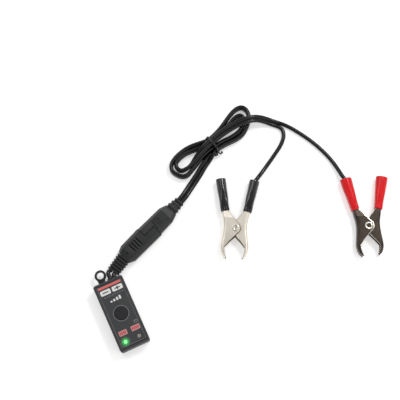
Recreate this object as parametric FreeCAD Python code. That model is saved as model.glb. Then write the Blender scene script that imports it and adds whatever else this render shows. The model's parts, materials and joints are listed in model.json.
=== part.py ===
import FreeCAD, Part
import math
import os

# 12 V battery charge tester with its clip lead, laid out flat on a bench.
# Millimetres, +Z up, +X along the layout from the tester towards the red clip.

V = FreeCAD.Vector
UP = V(0, 0, 1)

# ---- fits ----
slide_fit = 0.05            # radial clearance of a sliding or turning pair
press_gap = 0.0             # seated pieces of one body touch
loose_fit = 0.1             # clearance round a button, lamp or plug face

# ---- tester case ----
case_width = 22.0
case_length = 50.0
case_thick = 11.0
case_corner = 1.6
case_edge = 0.7
case_wall = 1.4
roof_thick = 1.7
lip_height = 0.8
lip_thick = 0.6
bezel = 1.6                 # rim of the case round the label
label_recess = 0.6
label_thick = 0.3

board_wall_gap = 0.4
board_thick = 1.2
board_length = 39.0
standoff_height = 1.2
standoff_radius = 1.6

lamp_radius = 1.5
lamp_flange = 0.4
lamp_flange_thick = 1.0
lamp_spacing = 10.2
lamp_from_end = 5.5         # lamps lie this far in from the case's lower end
lamp_proud = 0.5
lamp_leg = 0.5
lamp_leg_pitch = 1.27

button_radius = 4.7
button_proud = 0.6
button_travel = 0.6
button_flange = 0.9
button_flange_thick = 0.8
button_boss_radius = 2.0
plunger_radius = 1.7
plunger_length = 2.0
switch_size = 6.0
switch_gap = 0.7            # switch body to the pressed button's flange

chip_width = 4.0
chip_length = 5.0
chip_height = 1.6
resistor_length = 2.0
resistor_width = 1.25
resistor_height = 0.6
resistor_count = 5
resistor_pitch = 2.4

screw_radius = 1.1
screw_head_radius = 2.0
screw_head_thick = 1.0
screw_length = 6.5
screw_boss_radius = 2.2
screw_from_end = 4.6
upper_screw_side = -6.4
standoff_from_end = 6.0

ring_outer = 4.15
ring_hole = 2.5
ring_thick = 2.4
ring_round = 0.6
ring_from_edge = 5.9
ring_side = -3.1
ring_neck_width = 4.4
ring_foot_width = 6.4
ring_foot_length = 1.2

# ---- connector halves ----
plug_height = 9.0
plug_flat_share = 0.68      # flat top and bottom of the eight-sided section, as a share of its width
plug_side = 3.6             # height of its upright sides
plug_taper = 4.0
plug_neck_width = 10.9
tester_shoulder_width = 14.4
tester_face_width = 15.3    # the tester half widens a little towards its mating face
lead_face_width = 14.3
lead_shoulder_width = 13.4
plug_neck_height = 7.0
tester_half_length = 25.7
lead_half_length = 20.8
face_step = 9.3             # the two halves of each mating face are this far apart
pin_radius = 2.0
pin_spacing = 7.2
pin_reach = 12.5
pin_root = 6.0
socket_wall = 0.6
socket_depth = 13.5
grip_count = 4
grip_pitch = 2.3
grip_length = 6.6
grip_width = 1.0
grip_depth = 0.5
grip_from_neck = 8.4
lead_grip_count = 3
dimple_radius = 0.65
dimple_depth = 0.6
dimple_from_neck = 3.2

relief_tester_length = 12.8
relief_tester_end = 9.2
relief_lead_length = 10.4
relief_lead_end = 7.2
relief_end_height = 5.0
relief_rib = 1.3
relief_groove = 1.0
relief_groove_depth = 0.6
relief_bend = 7.0           # degrees, the tester half's relief leans this way

# ---- cords ----
wire_diameter = 3.0
twin_width = 2 * wire_diameter
grommet_width = 7.2
grommet_height = 4.6
grommet_flange = 0.8
grommet_rim = 0.2
grommet_proud = 1.4
wire_side = 4.0             # the wires' place across the case's end
wire_inside = 4.0

# ---- hank and tie ----
hank_height = twin_width
waist_width = 12.8
waist_length = 6.0
waist_top = 9.6
waist_heading = 41.0
tie_width = 2.4
tie_thick = 0.7
tie_tail = 4.0

# ---- clips ----
clip_sheet = 0.8
clip_outer_width = 7.2      # over the cheeks of the wide half
clip_cheek_gap = 0.1
handle_channel_width = 5.4
handle_width = 4.2
handle_tilt = 12.0
handle_length = 21.5
handle_base = (-8.2, 12.2)
sleeve_length = 24.2
sleeve_mouth = 8.0
sleeve_mouth_wall = 0.8
sleeve_neck_width = 5.7
sleeve_neck_height = 6.9
eyelet_radius = 2.2
eyelet_wall = 0.6
eyelet_flange = 0.7
eyelet_flange_thick = 0.35
eyelet_flange_gap = 0.05
tooth_count = 4
tooth_pitch = 1.5
tooth_depth = 0.6
spring_wire = 0.8
spring_clearance = 0.35
spring_turns = 3
spring_leg_tilt = 32.0
spring_leg = 9.6
neck_set_back = 0.3
core_length = 4.0
core_radius = 0.9
core_drop = 0.05
lead_in_handle = 4.5        # how far a lead runs inside the channel

# ---- places in the layout; its bounding box's middle becomes the origin ----
layout_middle = V(0.15, -0.01, 0)
tester_place = (-85.4, -36.7)
tester_turn = 24.5
plug_start = (-93.3, -5.6)
plug_turn = 46.4
waist_place = (-21.4, 87.0)
red_clip_place = (90.1, 26.4)
red_clip_turn = 2.7
red_handle_close = 0.0      # degrees that each handle stands nearer than handle_tilt
black_clip_place = (-5.2, 24.6)
black_clip_turn = -3.1
black_handle_close = 1.5


# ---------------------------------------------------------------- helpers

def block(width, length, height, centre=(0, 0), base=0.0):
    return Part.makeBox(width, length, height, V(centre[0] - width / 2, centre[1] - length / 2, base))


def rounded_block(width, length, height, corner, base=0.0):
    body = block(width, length, height, base=base)
    upright = [e for e in body.Edges if abs(e.Vertexes[0].Z - e.Vertexes[1].Z) > height / 2]
    return body.makeFillet(corner, upright)


def post(radius, height, centre=(0, 0), base=0.0):
    return Part.makeCylinder(radius, height, V(centre[0], centre[1], base), UP)


def prism(points, height, base=0.0):
    corners = [V(x, y, base) for x, y in points]
    return Part.Face(Part.makePolygon(corners + corners[:1])).extrude(V(0, 0, height))


def fuse(shapes):
    whole = shapes[0]
    for shape in shapes[1:]:
        whole = whole.fuse(shape)
    return whole.removeSplitter()


def cut(shape, tools):
    for tool in tools:
        shape = shape.cut(tool)
    return shape


def put(shape, place, turn):
    """The shape turned about +Z by turn degrees, then moved to place in the layout."""
    return shape.transformed(
        FreeCAD.Placement(V(place[0], place[1], 0), FreeCAD.Rotation(UP, turn)).toMatrix(), True)


def place_point(local, place, turn):
    return FreeCAD.Placement(V(place[0], place[1], 0), FreeCAD.Rotation(UP, turn)).multVec(V(*local))


def export(node, shapes):
    shapes = shapes if isinstance(shapes, list) else [shapes]
    moved = []
    for shape in shapes:
        for solid in shape.Solids:
            solid = solid.copy()
            solid.translate(layout_middle * -1)
            moved.append(solid)
    whole = moved[0] if len(moved) == 1 else Part.makeCompound(moved)
    if not whole.isValid():
        print("not valid:", node)
    whole.exportStep("parts/" + node + ".step")


# ---------------------------------------------------------------- cords

def route_wire(points, name):
    """Straight runs joined by tangent arcs, each arc as large as its two runs allow."""
    points = [V(*p) for p in points]
    edges = []
    start = points[0]
    radii = []
    for before, corner, after in zip(points, points[1:], points[2:]):
        run_in = corner - before
        run_out = after - corner
        shorter = min(run_in.Length, run_out.Length)
        turn = run_in.getAngle(run_out)
        radius = 0.45 * shorter / math.tan(turn / 2)
        radii.append(round(radius, 1))
        reach = radius * math.tan(turn / 2)
        enter = corner - V(run_in).normalize() * reach
        leave = corner + V(run_out).normalize() * reach
        inward = (enter + leave) * 0.5 - corner
        middle = corner + inward.normalize() * (radius / math.cos(turn / 2) - radius)
        edges.append(Part.LineSegment(start, enter).toShape())
        edges.append(Part.Arc(enter, middle, leave).toShape())
        start = leave
    edges.append(Part.LineSegment(start, points[-1]).toShape())
    wire = Part.Wire(edges)
    print(name, "length", round(wire.Length, 1), "radii", radii)
    return wire


def sweep(section, wire, name, area):
    pipe = Part.BRepOffsetAPI.MakePipeShell(wire)
    pipe.setBiNormalMode(UP)
    pipe.add(section, False, False)
    pipe.build()
    pipe.makeSolid()
    solid = pipe.shape()
    if solid.Volume < 0:
        solid.reverse()
    print(name, "volume over section times length", round(solid.Volume / (area * wire.Length), 4))
    return solid


def round_lead(points, name):
    wire = route_wire(points, name)
    start = V(*points[0])
    along = V(*points[1]) - start
    radius = wire_diameter / 2
    section = Part.Wire(Part.Circle(start, along, radius).toShape())
    pipe = Part.BRepOffsetAPI.MakePipeShell(wire)
    pipe.setFrenetMode(False)
    pipe.add(section, False, False)
    pipe.build()
    pipe.makeSolid()
    solid = pipe.shape()
    print(name, "volume over section times length",
          round(solid.Volume / (math.pi * radius ** 2 * wire.Length), 4))
    return solid


def flat_lead(points, name):
    """Twin flex as a band with round sides, its wide way level."""
    wire = route_wire(points, name)
    start = V(*points[0])
    along = (V(*points[1]) - start).normalize()
    side = UP.cross(along).normalize()
    rise = along.cross(side)
    radius = wire_diameter / 2
    reach = twin_width / 2 - radius
    left, right = start + side * reach, start - side * reach
    section = Part.Wire([
        Part.LineSegment(right + rise * radius, left + rise * radius).toShape(),
        Part.Arc(left + rise * radius, left + side * radius, left - rise * radius).toShape(),
        Part.LineSegment(left - rise * radius, right - rise * radius).toShape(),
        Part.Arc(right - rise * radius, right - side * radius, right + rise * radius).toShape(),
    ])
    area = math.pi * radius ** 2 + 2 * reach * wire_diameter
    return sweep(section, wire, name, area)


# ---------------------------------------------------------------- tester

split_height = case_thick / 2
board_base = case_wall + standoff_height
board_top = board_base + board_thick
cavity_width = case_width - 2 * case_wall
cavity_length = case_length - 2 * case_wall
roof_under = case_thick - roof_thick
label_top = case_thick - label_recess + label_thick
button_top = label_top + button_proud
flange_base = roof_under - button_flange_thick
switch_top = flange_base - button_travel - switch_gap
boss_base = flange_base - 0.5
screw_places = [(upper_screw_side, case_length / 2 - screw_from_end - case_wall),
                (0, -case_length / 2 + screw_from_end)]
case_end = case_length / 2
lamp_places = [(-lamp_spacing / 2, lamp_from_end - case_end), (lamp_spacing / 2, lamp_from_end - case_end)]
neck_middle = ring_side - 0.9
ring_foot_middle = neck_middle - 0.6


def case_outer():
    body = rounded_block(case_width, case_length, case_thick, case_corner)
    rims = [e for e in body.Edges if abs(e.Vertexes[0].Z - e.Vertexes[-1].Z) < 1e-6]
    return body.makeFillet(case_edge, rims)


def case_hollow():
    return rounded_block(cavity_width, cavity_length, roof_under - case_wall, case_corner - case_wall / 2,
                         base=case_wall)


def end_slots(gap):
    """Spaces through the case's end wall for the grommet and the key ring's neck."""
    deep = 3 * case_wall
    wires = block(grommet_width + 2 * gap, deep, grommet_height + 2 * gap, (wire_side, case_end),
                  split_height - grommet_height / 2 - gap)
    neck = block(ring_neck_width + 2 * gap, deep, ring_thick + 2 * gap, (neck_middle, case_end),
                 split_height - ring_thick / 2 - gap)
    return [wires, neck]


def lip_gaps():
    """Gaps in the front's lip for what is held behind the end wall."""
    deep = 3 * lip_thick
    y = case_end - case_wall - deep / 2
    wires = block(grommet_width + 2 * grommet_rim + 2 * loose_fit, deep, case_thick, (wire_side, y),
                  split_height - case_thick)
    foot = block(ring_foot_width + 2 * loose_fit, deep, case_thick, (ring_foot_middle, y),
                 split_height - case_thick)
    upper_wires = block(grommet_width + 2 * grommet_rim + 2 * loose_fit, deep, grommet_height / 2 + 1.0,
                        (wire_side, y), split_height)
    upper_foot = block(ring_foot_width + 2 * loose_fit, deep, ring_thick / 2 + loose_fit,
                       (ring_foot_middle, y), split_height)
    return [wires, foot, upper_wires, upper_foot]


def case_back():
    lower = block(2 * case_width, 2 * case_length, split_height)
    shell = case_outer().common(lower).cut(case_hollow())
    parts = [shell]
    for x in (-1, 1):
        for y in (-1, 1):
            spot = (x * (cavity_width / 2 - 2.6), y * (board_length / 2 - standoff_from_end))
            parts.append(post(standoff_radius, standoff_height, spot, case_wall))
    shell = fuse(parts)
    tools = end_slots(press_gap)
    for spot in screw_places:
        tools.append(post(screw_radius + loose_fit, case_thick, spot, -1))
        tools.append(post(screw_head_radius + loose_fit, screw_head_thick, spot, 0))
    return cut(shell, tools)


def case_front():
    upper = block(2 * case_width, 2 * case_length, case_thick, base=split_height)
    shell = case_outer().common(upper).cut(case_hollow())
    lip_width = cavity_width - 2 * slide_fit
    lip_length = cavity_length - 2 * slide_fit
    corner = case_corner - case_wall / 2
    lip = rounded_block(lip_width, lip_length, lip_height + 1, corner, split_height - lip_height)
    lip = lip.cut(rounded_block(lip_width - 2 * lip_thick, lip_length - 2 * lip_thick, lip_height + 3,
                                corner - lip_thick / 2, split_height - lip_height - 1))
    tie_in = rounded_block(cavity_width + 0.6, cavity_length + 0.6, 1, corner, split_height)
    tie_in = tie_in.cut(rounded_block(lip_width - 2 * lip_thick, lip_length - 2 * lip_thick, 3,
                                      corner - lip_thick / 2, split_height - 1))
    parts = [shell, lip, tie_in.common(case_outer())]
    for spot in screw_places:
        parts.append(post(screw_boss_radius, roof_under - case_wall + 0.2, spot, case_wall))
    shell = fuse(parts)
    label_space = rounded_block(case_width - 2 * bezel, case_length - 2 * bezel, case_thick,
                                case_corner - bezel / 2, case_thick - label_recess)
    tools = [label_space, post(button_radius + loose_fit, case_thick)] + end_slots(press_gap) + lip_gaps()
    for spot in lamp_places:
        tools.append(post(lamp_radius + slide_fit, case_thick, spot))
    for spot in screw_places:
        tools.append(post(screw_radius, screw_length, spot, screw_head_thick))
    return cut(shell, tools)


def face_label():
    plate = rounded_block(case_width - 2 * bezel, case_length - 2 * bezel, label_thick,
                          case_corner - bezel / 2, case_thick - label_recess)
    tools = [post(button_radius + loose_fit, case_thick)]
    for spot in lamp_places:
        tools.append(post(lamp_radius + slide_fit, case_thick, spot))
    return cut(plate, tools)


def circuit_board():
    width = cavity_width - 2 * board_wall_gap
    board = block(width, board_length, board_thick, base=board_base)
    tools = [post(screw_boss_radius + loose_fit, case_thick, spot) for spot in screw_places]
    return cut(board, tools)


def lamp(spot):
    top = label_top + lamp_proud
    flange_top = roof_under - loose_fit
    barrel_top = top - lamp_radius
    flange = post(lamp_radius + lamp_flange, lamp_flange_thick, spot, flange_top - lamp_flange_thick)
    barrel = post(lamp_radius, barrel_top - flange_top, spot, flange_top)
    dome = Part.makeSphere(lamp_radius, V(spot[0], spot[1], barrel_top), UP, 0, 90)
    return fuse([flange, barrel, dome])


def lamp_legs():
    legs = []
    height = roof_under - loose_fit - lamp_flange_thick - board_top
    for x, y in lamp_places:
        for side in (-1, 1):
            legs.append(block(lamp_leg, lamp_leg, height, (x + side * lamp_leg_pitch / 2, y), board_top))
    return legs


def test_button():
    cap = post(button_radius, button_top - roof_under, base=roof_under)
    rim = [e for e in cap.Edges if e.BoundBox.ZMin > button_top - loose_fit]
    cap = cap.makeFillet(0.35, rim)
    flange = post(button_radius + button_flange, button_flange_thick, base=flange_base)
    boss = post(button_boss_radius, flange_base - boss_base, base=boss_base)
    return fuse([cap, flange, boss])


def switch_plunger():
    return post(plunger_radius, plunger_length, base=boss_base - plunger_length)


def tact_switch():
    body = block(switch_size, switch_size, switch_top - board_top, base=board_top)
    hole_base = boss_base - plunger_length - button_travel - loose_fit
    return body.cut(post(plunger_radius + slide_fit, case_thick, base=hole_base))


def board_parts():
    parts = [block(chip_width, chip_length, chip_height, (-5.0, 10.5), board_top)]
    for i in range(resistor_count):
        spot = (5.6, 13.0 - i * resistor_pitch)
        parts.append(block(resistor_length, resistor_width, resistor_height, spot, board_top))
    for side in (-1, 1):
        spot = (wire_side + side * wire_diameter / 2, case_end - grommet_flange - case_wall - wire_inside - 1.0)
        parts.append(block(wire_diameter * 0.7, 2.0, split_height + 1 - board_top, spot, board_top))
    return parts


def case_screws():
    screws = []
    for x, y in screw_places:
        head = post(screw_head_radius, screw_head_thick, (x, y), 0)
        slot = block(2.4, 0.5, 0.5, (x, y), 0).fuse(block(0.5, 2.4, 0.5, (x, y), 0))
        shank = post(screw_radius, screw_length, (x, y), screw_head_thick)
        screws.append(fuse([head, shank]).cut(slot))
    return screws


def key_loop():
    centre = (ring_side, case_end + ring_from_edge)
    base = split_height - ring_thick / 2
    ring = post(ring_outer, ring_thick, centre, base)
    rims = [e for e in ring.Edges if len(e.Vertexes) == 1]
    ring = ring.makeFillet(ring_round, rims)
    half = ring_neck_width / 2
    low = case_end - case_wall
    neck = prism([(neck_middle - half, low), (neck_middle + half, low), (neck_middle + half, case_end + 0.4),
                  (ring_side + ring_outer * 0.8, centre[1] - ring_outer * 0.4),
                  (ring_side - ring_outer * 0.8, centre[1] - ring_outer * 0.4),
                  (neck_middle - half, case_end + 0.4)], ring_thick, base)
    foot = block(ring_foot_width, ring_foot_length, ring_thick, (ring_foot_middle, low - ring_foot_length / 2), base)
    whole = fuse([ring, neck, foot])
    return whole.cut(post(ring_hole, case_thick, centre))


def pigtail_grommet():
    base = split_height - grommet_height / 2
    deep = case_wall + grommet_proud
    plug = block(grommet_width, deep, grommet_height, (wire_side, case_end - case_wall + deep / 2), base)
    inner = block(grommet_width + 2 * grommet_rim, grommet_flange, grommet_height + 1.0,
                  (wire_side, case_end - case_wall - grommet_flange / 2), base - 0.5)
    whole = fuse([plug, inner])
    holes = []
    for side in (-1, 1):
        start = V(wire_side + side * wire_diameter / 2, case_end - 4 * case_wall, split_height)
        holes.append(Part.makeCylinder(wire_diameter / 2, 8 * case_wall, start, V(0, 1, 0)))
    between = wire_diameter * 0.4
    holes.append(block(wire_diameter, 8 * case_wall, between, (wire_side, case_end), split_height - between / 2))
    return cut(whole, holes)


# ---------------------------------------------------------------- connector halves
# Local frame: +X along the plug from the tester's cord to the lead's cord, +Z up.

tester_body_start = relief_tester_length
mid_face = tester_body_start + tester_half_length
lead_body_end = mid_face + lead_half_length
plug_end = lead_body_end + relief_lead_length
left_face = mid_face - face_step / 2        # +Y side, the lead half reaches this far
right_face = mid_face + face_step / 2       # -Y side, the tester half reaches this far
plug_middle = plug_height / 2


def plug_section(x, width, height, flat, side):
    """Eight-sided section of a connector half at x."""
    points = [(-flat / 2, -height / 2), (flat / 2, -height / 2), (width / 2, -side / 2), (width / 2, side / 2),
              (flat / 2, height / 2), (-flat / 2, height / 2), (-width / 2, side / 2), (-width / 2, -side / 2)]
    corners = [V(x, y, plug_middle + z) for y, z in points]
    return Part.makePolygon(corners + corners[:1])


def plug_solid(x_neck, x_far, shoulder_width, face_width):
    """Body from its narrow neck over its shoulder to its mating face, in the direction of x_far."""
    way = 1 if x_far > x_neck else -1
    neck = plug_section(x_neck, plug_neck_width, plug_neck_height, plug_flat_share * plug_neck_width,
                        plug_side * plug_neck_height / plug_height)
    shoulder = plug_section(x_neck + way * plug_taper, shoulder_width, plug_height,
                            plug_flat_share * shoulder_width, plug_side)
    far = plug_section(x_far, face_width, plug_height, plug_flat_share * face_width, plug_side)
    return fuse([Part.makeLoft([neck, shoulder], True, True), Part.makeLoft([shoulder, far], True, True)])


def strain_relief(length, end_width, ribs_toward):
    """Ribbed relief along +X from the plug's neck at 0 to the cord at length; ribs_toward gives +1 or -1."""
    neck_w, neck_h = plug_neck_width - 0.6, plug_neck_height - 0.4

    def section(x, shrink):
        share = x / length
        width = neck_w + (end_width - neck_w) * share - 2 * shrink
        height = neck_h + (relief_end_height - neck_h) * share - 2 * shrink
        flat = width - height * 0.55
        return [V(ribs_toward * x, y, z) for y, z in [
            (-flat / 2, -height / 2), (flat / 2, -height / 2), (width / 2, -height * 0.22),
            (width / 2, height * 0.22), (flat / 2, height / 2), (-flat / 2, height / 2),
            (-width / 2, height * 0.22), (-width / 2, -height * 0.22)]]

    def slab(x0, x1, shrink):
        wires = [Part.makePolygon(c + c[:1]) for c in (section(x0, shrink), section(x1, shrink))]
        return Part.makeLoft(wires, True, True)

    parts = [slab(0, length, relief_groove_depth)]
    pitch = relief_rib + relief_groove
    count = int((length - relief_rib) / pitch + 1e-6) + 1
    pitch = (length - relief_rib) / (count - 1)
    for i in range(count):
        parts.append(slab(i * pitch, i * pitch + relief_rib, 0))
    return fuse(parts)


def grips(x_first, count):
    tools = []
    for i in range(count):
        x = x_first + i * grip_pitch
        for z in (plug_height - grip_depth, 0):
            tools.append(block(grip_width, grip_length, grip_depth, (x, 0), z))
    return tools


def side_room(x0, x1, side):
    """The half of the plug's width on one side of its middle plane, less half the sliding gap."""
    gap = -loose_fit / 2 if side > 0 else loose_fit / 2
    y0, y1 = (gap, tester_face_width) if side > 0 else (-tester_face_width, gap)
    return Part.makeBox(x1 - x0, y1 - y0, 4 * plug_height, V(x0, y0, -plug_height))


def bore(x0, x1, side, radius):
    start = V(x0, side * pin_spacing / 2, plug_middle)
    return Part.makeCylinder(radius, x1 - x0, start, V(1, 0, 0))


socket_outer = pin_radius + slide_fit + socket_wall


def tester_plug_body():
    body = plug_solid(tester_body_start, right_face, tester_shoulder_width, tester_face_width)
    relief = strain_relief(relief_tester_length, relief_tester_end, -1)
    relief.rotate(V(0, 0, 0), UP, relief_bend)
    relief.translate(V(tester_body_start, 0, plug_middle))
    body = fuse([body, relief])
    tools = [side_room(left_face, right_face + 1, 1),
             bore(left_face - pin_root, right_face, 1, pin_radius),
             bore(right_face - socket_depth, right_face + 1, -1, socket_outer),
             post(dimple_radius, 1, (tester_body_start + dimple_from_neck, 0), plug_height - dimple_depth)]
    return cut(body, tools + grips(tester_body_start + grip_from_neck, grip_count))


def lead_plug_body():
    body = plug_solid(lead_body_end, left_face, lead_shoulder_width, lead_face_width)
    relief = strain_relief(relief_lead_length, relief_lead_end, 1)
    relief.translate(V(lead_body_end, 0, plug_middle))
    body = fuse([body, relief])
    tools = [side_room(left_face - 1, right_face, -1),
             bore(left_face - 1, right_face + pin_root, -1, pin_radius),
             bore(left_face - 1, left_face + socket_depth, 1, socket_outer)]
    return cut(body, tools + grips(lead_body_end - grip_from_neck - lead_grip_count * grip_pitch, lead_grip_count))


def plug_pin(x_face, way, side):
    """Round-nosed pin that stands out of the face at x_face and is rooted behind it."""
    x0, x1 = sorted((x_face - way * pin_root, x_face + way * pin_reach))
    pin = bore(x0, x1, side, pin_radius)
    tip = [e for e in pin.Edges if len(e.Vertexes) == 1 and abs(e.Vertexes[0].X - (x_face + way * pin_reach)) < 0.01]
    return pin.makeFillet(pin_radius * 0.55, tip)


def plug_socket(x_mouth, way, side):
    x0, x1 = sorted((x_mouth, x_mouth + way * socket_depth))
    return bore(x0, x1, side, socket_outer).cut(bore(x0 - 1, x1 + 1, side, pin_radius + slide_fit))


# ---------------------------------------------------------------- clips
# Local frame: the pivot at the origin, handles towards +Y, jaws towards -Y, +Z up from the bench.

clip_height = clip_outer_width + 2 * (eyelet_flange_thick + eyelet_flange_gap)
clip_middle = clip_height / 2
inner_width = clip_outer_width - 2 * clip_sheet - 2 * clip_cheek_gap
handle_way = V(-math.sin(math.radians(handle_tilt)), math.cos(math.radians(handle_tilt)), 0)
handle_side = V(-handle_way.y, handle_way.x, 0)      # from the handle's axis to its back


def handle_point(along, out):
    return V(handle_base[0], handle_base[1], 0) + handle_way * along + handle_side * out


def pair(point):
    return (point.x, point.y)


def half_outline():
    """Plan of the left half's cheek: back edge from handle to jaw tip, then the front edge with its teeth."""
    back = [pair(handle_point(handle_length, handle_width / 2)), pair(handle_point(0, handle_width / 2)),
            (-8.8, 4.0), (-8.3, -2.5), (-9.3, -9.0), (-9.9, -13.0), (-9.4, -16.5), (-7.9, -19.8), (-6.0, -21.7)]
    lobe = eyelet_radius + 1.8
    front = [(-5.3, -20.9)]
    top = -13.9
    for i in range(tooth_count):
        y = top - (tooth_count - i) * tooth_pitch
        depth = tooth_depth
        front += [(-7.0 + 0.2 * (tooth_count - i), y + 0.1), (-7.0 - depth + 0.2 * (tooth_count - i), y + tooth_pitch * 0.55)]
    front += [(-7.0, top + 0.2), (-4.2, -10.2)]
    around = [(lobe * math.cos(math.radians(a)), lobe * math.sin(math.radians(a))) for a in range(-52, 53, 13)]
    neck = [(-2.4, 8.3), pair(handle_point(-neck_set_back, -handle_width / 2)), pair(handle_point(handle_length, -handle_width / 2))]
    return back, front + around + neck


def envelope(half_width, handle_half, inset):
    """Solid between two level faces that close in from half_width at the cheeks to handle_half in the handle."""
    wide, slim = half_width - inset, handle_half - inset
    joggle = handle_base[1]
    reach = 3 * handle_length       # past the clip's ends and sides
    upper = [(-reach, wide), (joggle - 4.5, wide), (joggle - 0.5, slim), (reach, slim)]
    lower = [(y, -z) for y, z in reversed(upper)]
    corners = [V(-reach, y, clip_middle + z) for y, z in upper + lower]
    return Part.Face(Part.makePolygon(corners + corners[:1])).extrude(V(2 * reach, 0, 0))


def inward(back, sheet):
    """The back edge moved towards the middle by the sheet's thickness."""
    moved = []
    for i, (x, y) in enumerate(back):
        before = back[max(i - 1, 0)]
        after = back[min(i + 1, len(back) - 1)]
        way = V(after[0] - before[0], after[1] - before[1], 0).normalize()
        moved.append((x - way.y * sheet, y + way.x * sheet))
    return moved


def clip_half(side, width, hole, close):
    """One pressed half: a back and two cheeks round an open channel."""
    back, front = half_outline()
    handle_half = handle_channel_width / 2
    outer = prism(back + front, clip_height).common(envelope(width / 2, min(handle_half, width / 2), 0))
    core_back = inward(back, clip_sheet)
    first, last = core_back[0], core_back[-1]
    first = (first[0] + handle_way.x * 3, first[1] + handle_way.y * 3)
    last = (last[0] + 0.6, last[1] - 3)
    core_side = handle_length
    core = prism([first] + core_back[1:-1] + [core_back[-1], last, (core_side, last[1]), (core_side, first[1])], clip_height)
    core = core.common(envelope(width / 2, min(handle_half, width / 2), clip_sheet))
    half = outer.cut(core).cut(post(hole, clip_height + 2, base=-1))
    return turn_half(half, side, close)


def turn_half(shape, side, close):
    """Left-hand piece brought to its side of the clip, its handle close degrees nearer the middle."""
    if side > 0:
        shape = shape.mirror(V(0, 0, 0), V(1, 0, 0))
    shape = shape.copy()
    shape.rotate(V(0, 0, 0), UP, close if side > 0 else -close)
    return shape


def sleeve_section(along, width, height, corner):
    """Rounded rectangle across the handle at a distance along it."""
    middle = handle_point(along, 0) + V(0, 0, clip_middle)
    right, rise = handle_side, UP
    w, h = width / 2, height / 2
    k = corner * (1 - math.sqrt(0.5))
    edges = []
    for sx, sy in ((1, 1), (-1, 1), (-1, -1), (1, -1)):
        a = middle + right * (sx * w) + rise * (sy * (h - corner))
        b = middle + right * (sx * (w - corner)) + rise * (sy * h)
        m = middle + right * (sx * (w - k)) + rise * (sy * (h - k))
        edges.append((a, m, b) if sx * sy > 0 else (b, m, a))
    wire = []
    for i, (a, m, b) in enumerate(edges):
        wire.append(Part.Arc(a, m, b).toShape())
        nxt = edges[(i + 1) % 4][0]
        wire.append(Part.LineSegment(b, nxt).toShape())
    return Part.Wire(wire)


def clip_sleeve(side, close):
    mouth_corner = sleeve_mouth / 2 - 0.15
    outer = Part.makeLoft([
        sleeve_section(0, sleeve_neck_width, sleeve_neck_height, 1.9),
        sleeve_section(sleeve_length * 0.3, sleeve_neck_width + 0.6, sleeve_neck_height + 0.3, 2.4),
        sleeve_section(sleeve_length * 0.75, sleeve_mouth - 0.3, sleeve_mouth - 0.2, mouth_corner - 0.25),
        sleeve_section(sleeve_length, sleeve_mouth, sleeve_mouth, mouth_corner)], True, False)
    back, front = pair(handle_point(0, handle_width / 2)), pair(handle_point(0, -handle_width / 2))
    along = [pair(V(x, y, 0) + handle_way * t) for t, (x, y) in
             ((-2, back), (handle_length, back), (handle_length, front), (-2, front))]
    channel = prism(along, handle_channel_width, clip_middle - handle_channel_width / 2)
    mouth = Part.makeCylinder(sleeve_mouth / 2 - sleeve_mouth_wall, sleeve_length,
                              handle_point(handle_length, 0) + V(0, 0, clip_middle), handle_way)
    return turn_half(outer.cut(channel).cut(mouth), side, close)


def clip_eyelet():
    barrel_low = (clip_height - clip_outer_width) / 2 - eyelet_flange_gap
    barrel = post(eyelet_radius, clip_height - 2 * barrel_low, base=barrel_low)
    flange_radius = eyelet_radius + eyelet_flange
    low = post(flange_radius, eyelet_flange_thick, base=0)
    high = post(flange_radius, eyelet_flange_thick, base=clip_height - eyelet_flange_thick)
    hole = post(eyelet_radius - eyelet_wall, clip_height + 2, base=-1)
    return fuse([low, barrel, high]).cut(hole)


def clip_spring(close):
    """Coil round the eyelet, with a leg along each handle."""
    mean = eyelet_radius + spring_clearance + spring_wire / 2
    room = inner_width - 2 * clip_sheet - spring_wire - 0.2
    tilt = math.radians(spring_leg_tilt - close)
    turns = spring_turns + 0.5 - tilt / math.pi
    pitch = room / turns
    low = clip_middle - room / 2
    helix = Part.makeHelix(pitch, room, mean)
    helix.rotate(V(0, 0, 0), UP, 180 + math.degrees(tilt))
    helix.translate(V(0, 0, low))
    start = helix.Edges[0].valueAt(helix.Edges[0].FirstParameter)
    along = helix.Edges[0].tangentAt(helix.Edges[0].FirstParameter)
    pipe = Part.BRepOffsetAPI.MakePipeShell(Part.Wire(helix.Edges))
    pipe.setFrenetMode(True)
    pipe.add(Part.Wire(Part.Circle(start, along, spring_wire / 2).toShape()), False, False)
    pipe.build()
    pipe.makeSolid()
    parts = [pipe.shape()]
    for side in (-1, 1):
        way = V(side * math.sin(tilt), math.cos(tilt), 0)
        foot = V(side * mean * math.cos(tilt), -mean * math.sin(tilt), low if side < 0 else low + room)
        parts.append(Part.makeCylinder(spring_wire / 2, spring_leg, foot, way))
    return fuse(parts)


def wire_end(side, close):
    """Soldered end of the lead's copper inside the handle, on the channel's back."""
    end = handle_length - lead_in_handle
    start = handle_point(end - core_length, lead_out - core_drop) + V(0, 0, clip_middle)
    core = Part.makeCylinder(core_radius, core_length - core_drop, start, handle_way)
    back = handle_width / 2 - clip_sheet
    a, b = pair(handle_point(end - core_length, back)), pair(handle_point(end - 1, back))
    c, d = pair(handle_point(end - 1, lead_out)), pair(handle_point(end - core_length, lead_out))
    solder = prism([a, b, c, d], 2 * core_radius, clip_middle - core_radius)
    return turn_half(fuse([core, solder]), side, close)


lead_out = handle_width / 2 - clip_sheet - wire_diameter / 2 - 0.02     # lead's place in the channel


def lead_entry(along, out, side, close, place, turn):
    """Layout point of the lead in a handle, at a distance along it and out from its axis."""
    point = handle_point(along, out)
    if side > 0:
        point = V(-point.x, point.y, 0)
    angle = close if side > 0 else -close
    point = FreeCAD.Rotation(UP, angle).multVec(point)
    point = place_point((point.x, point.y, clip_middle), place, turn)
    return (point.x, point.y, point.z)


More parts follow.
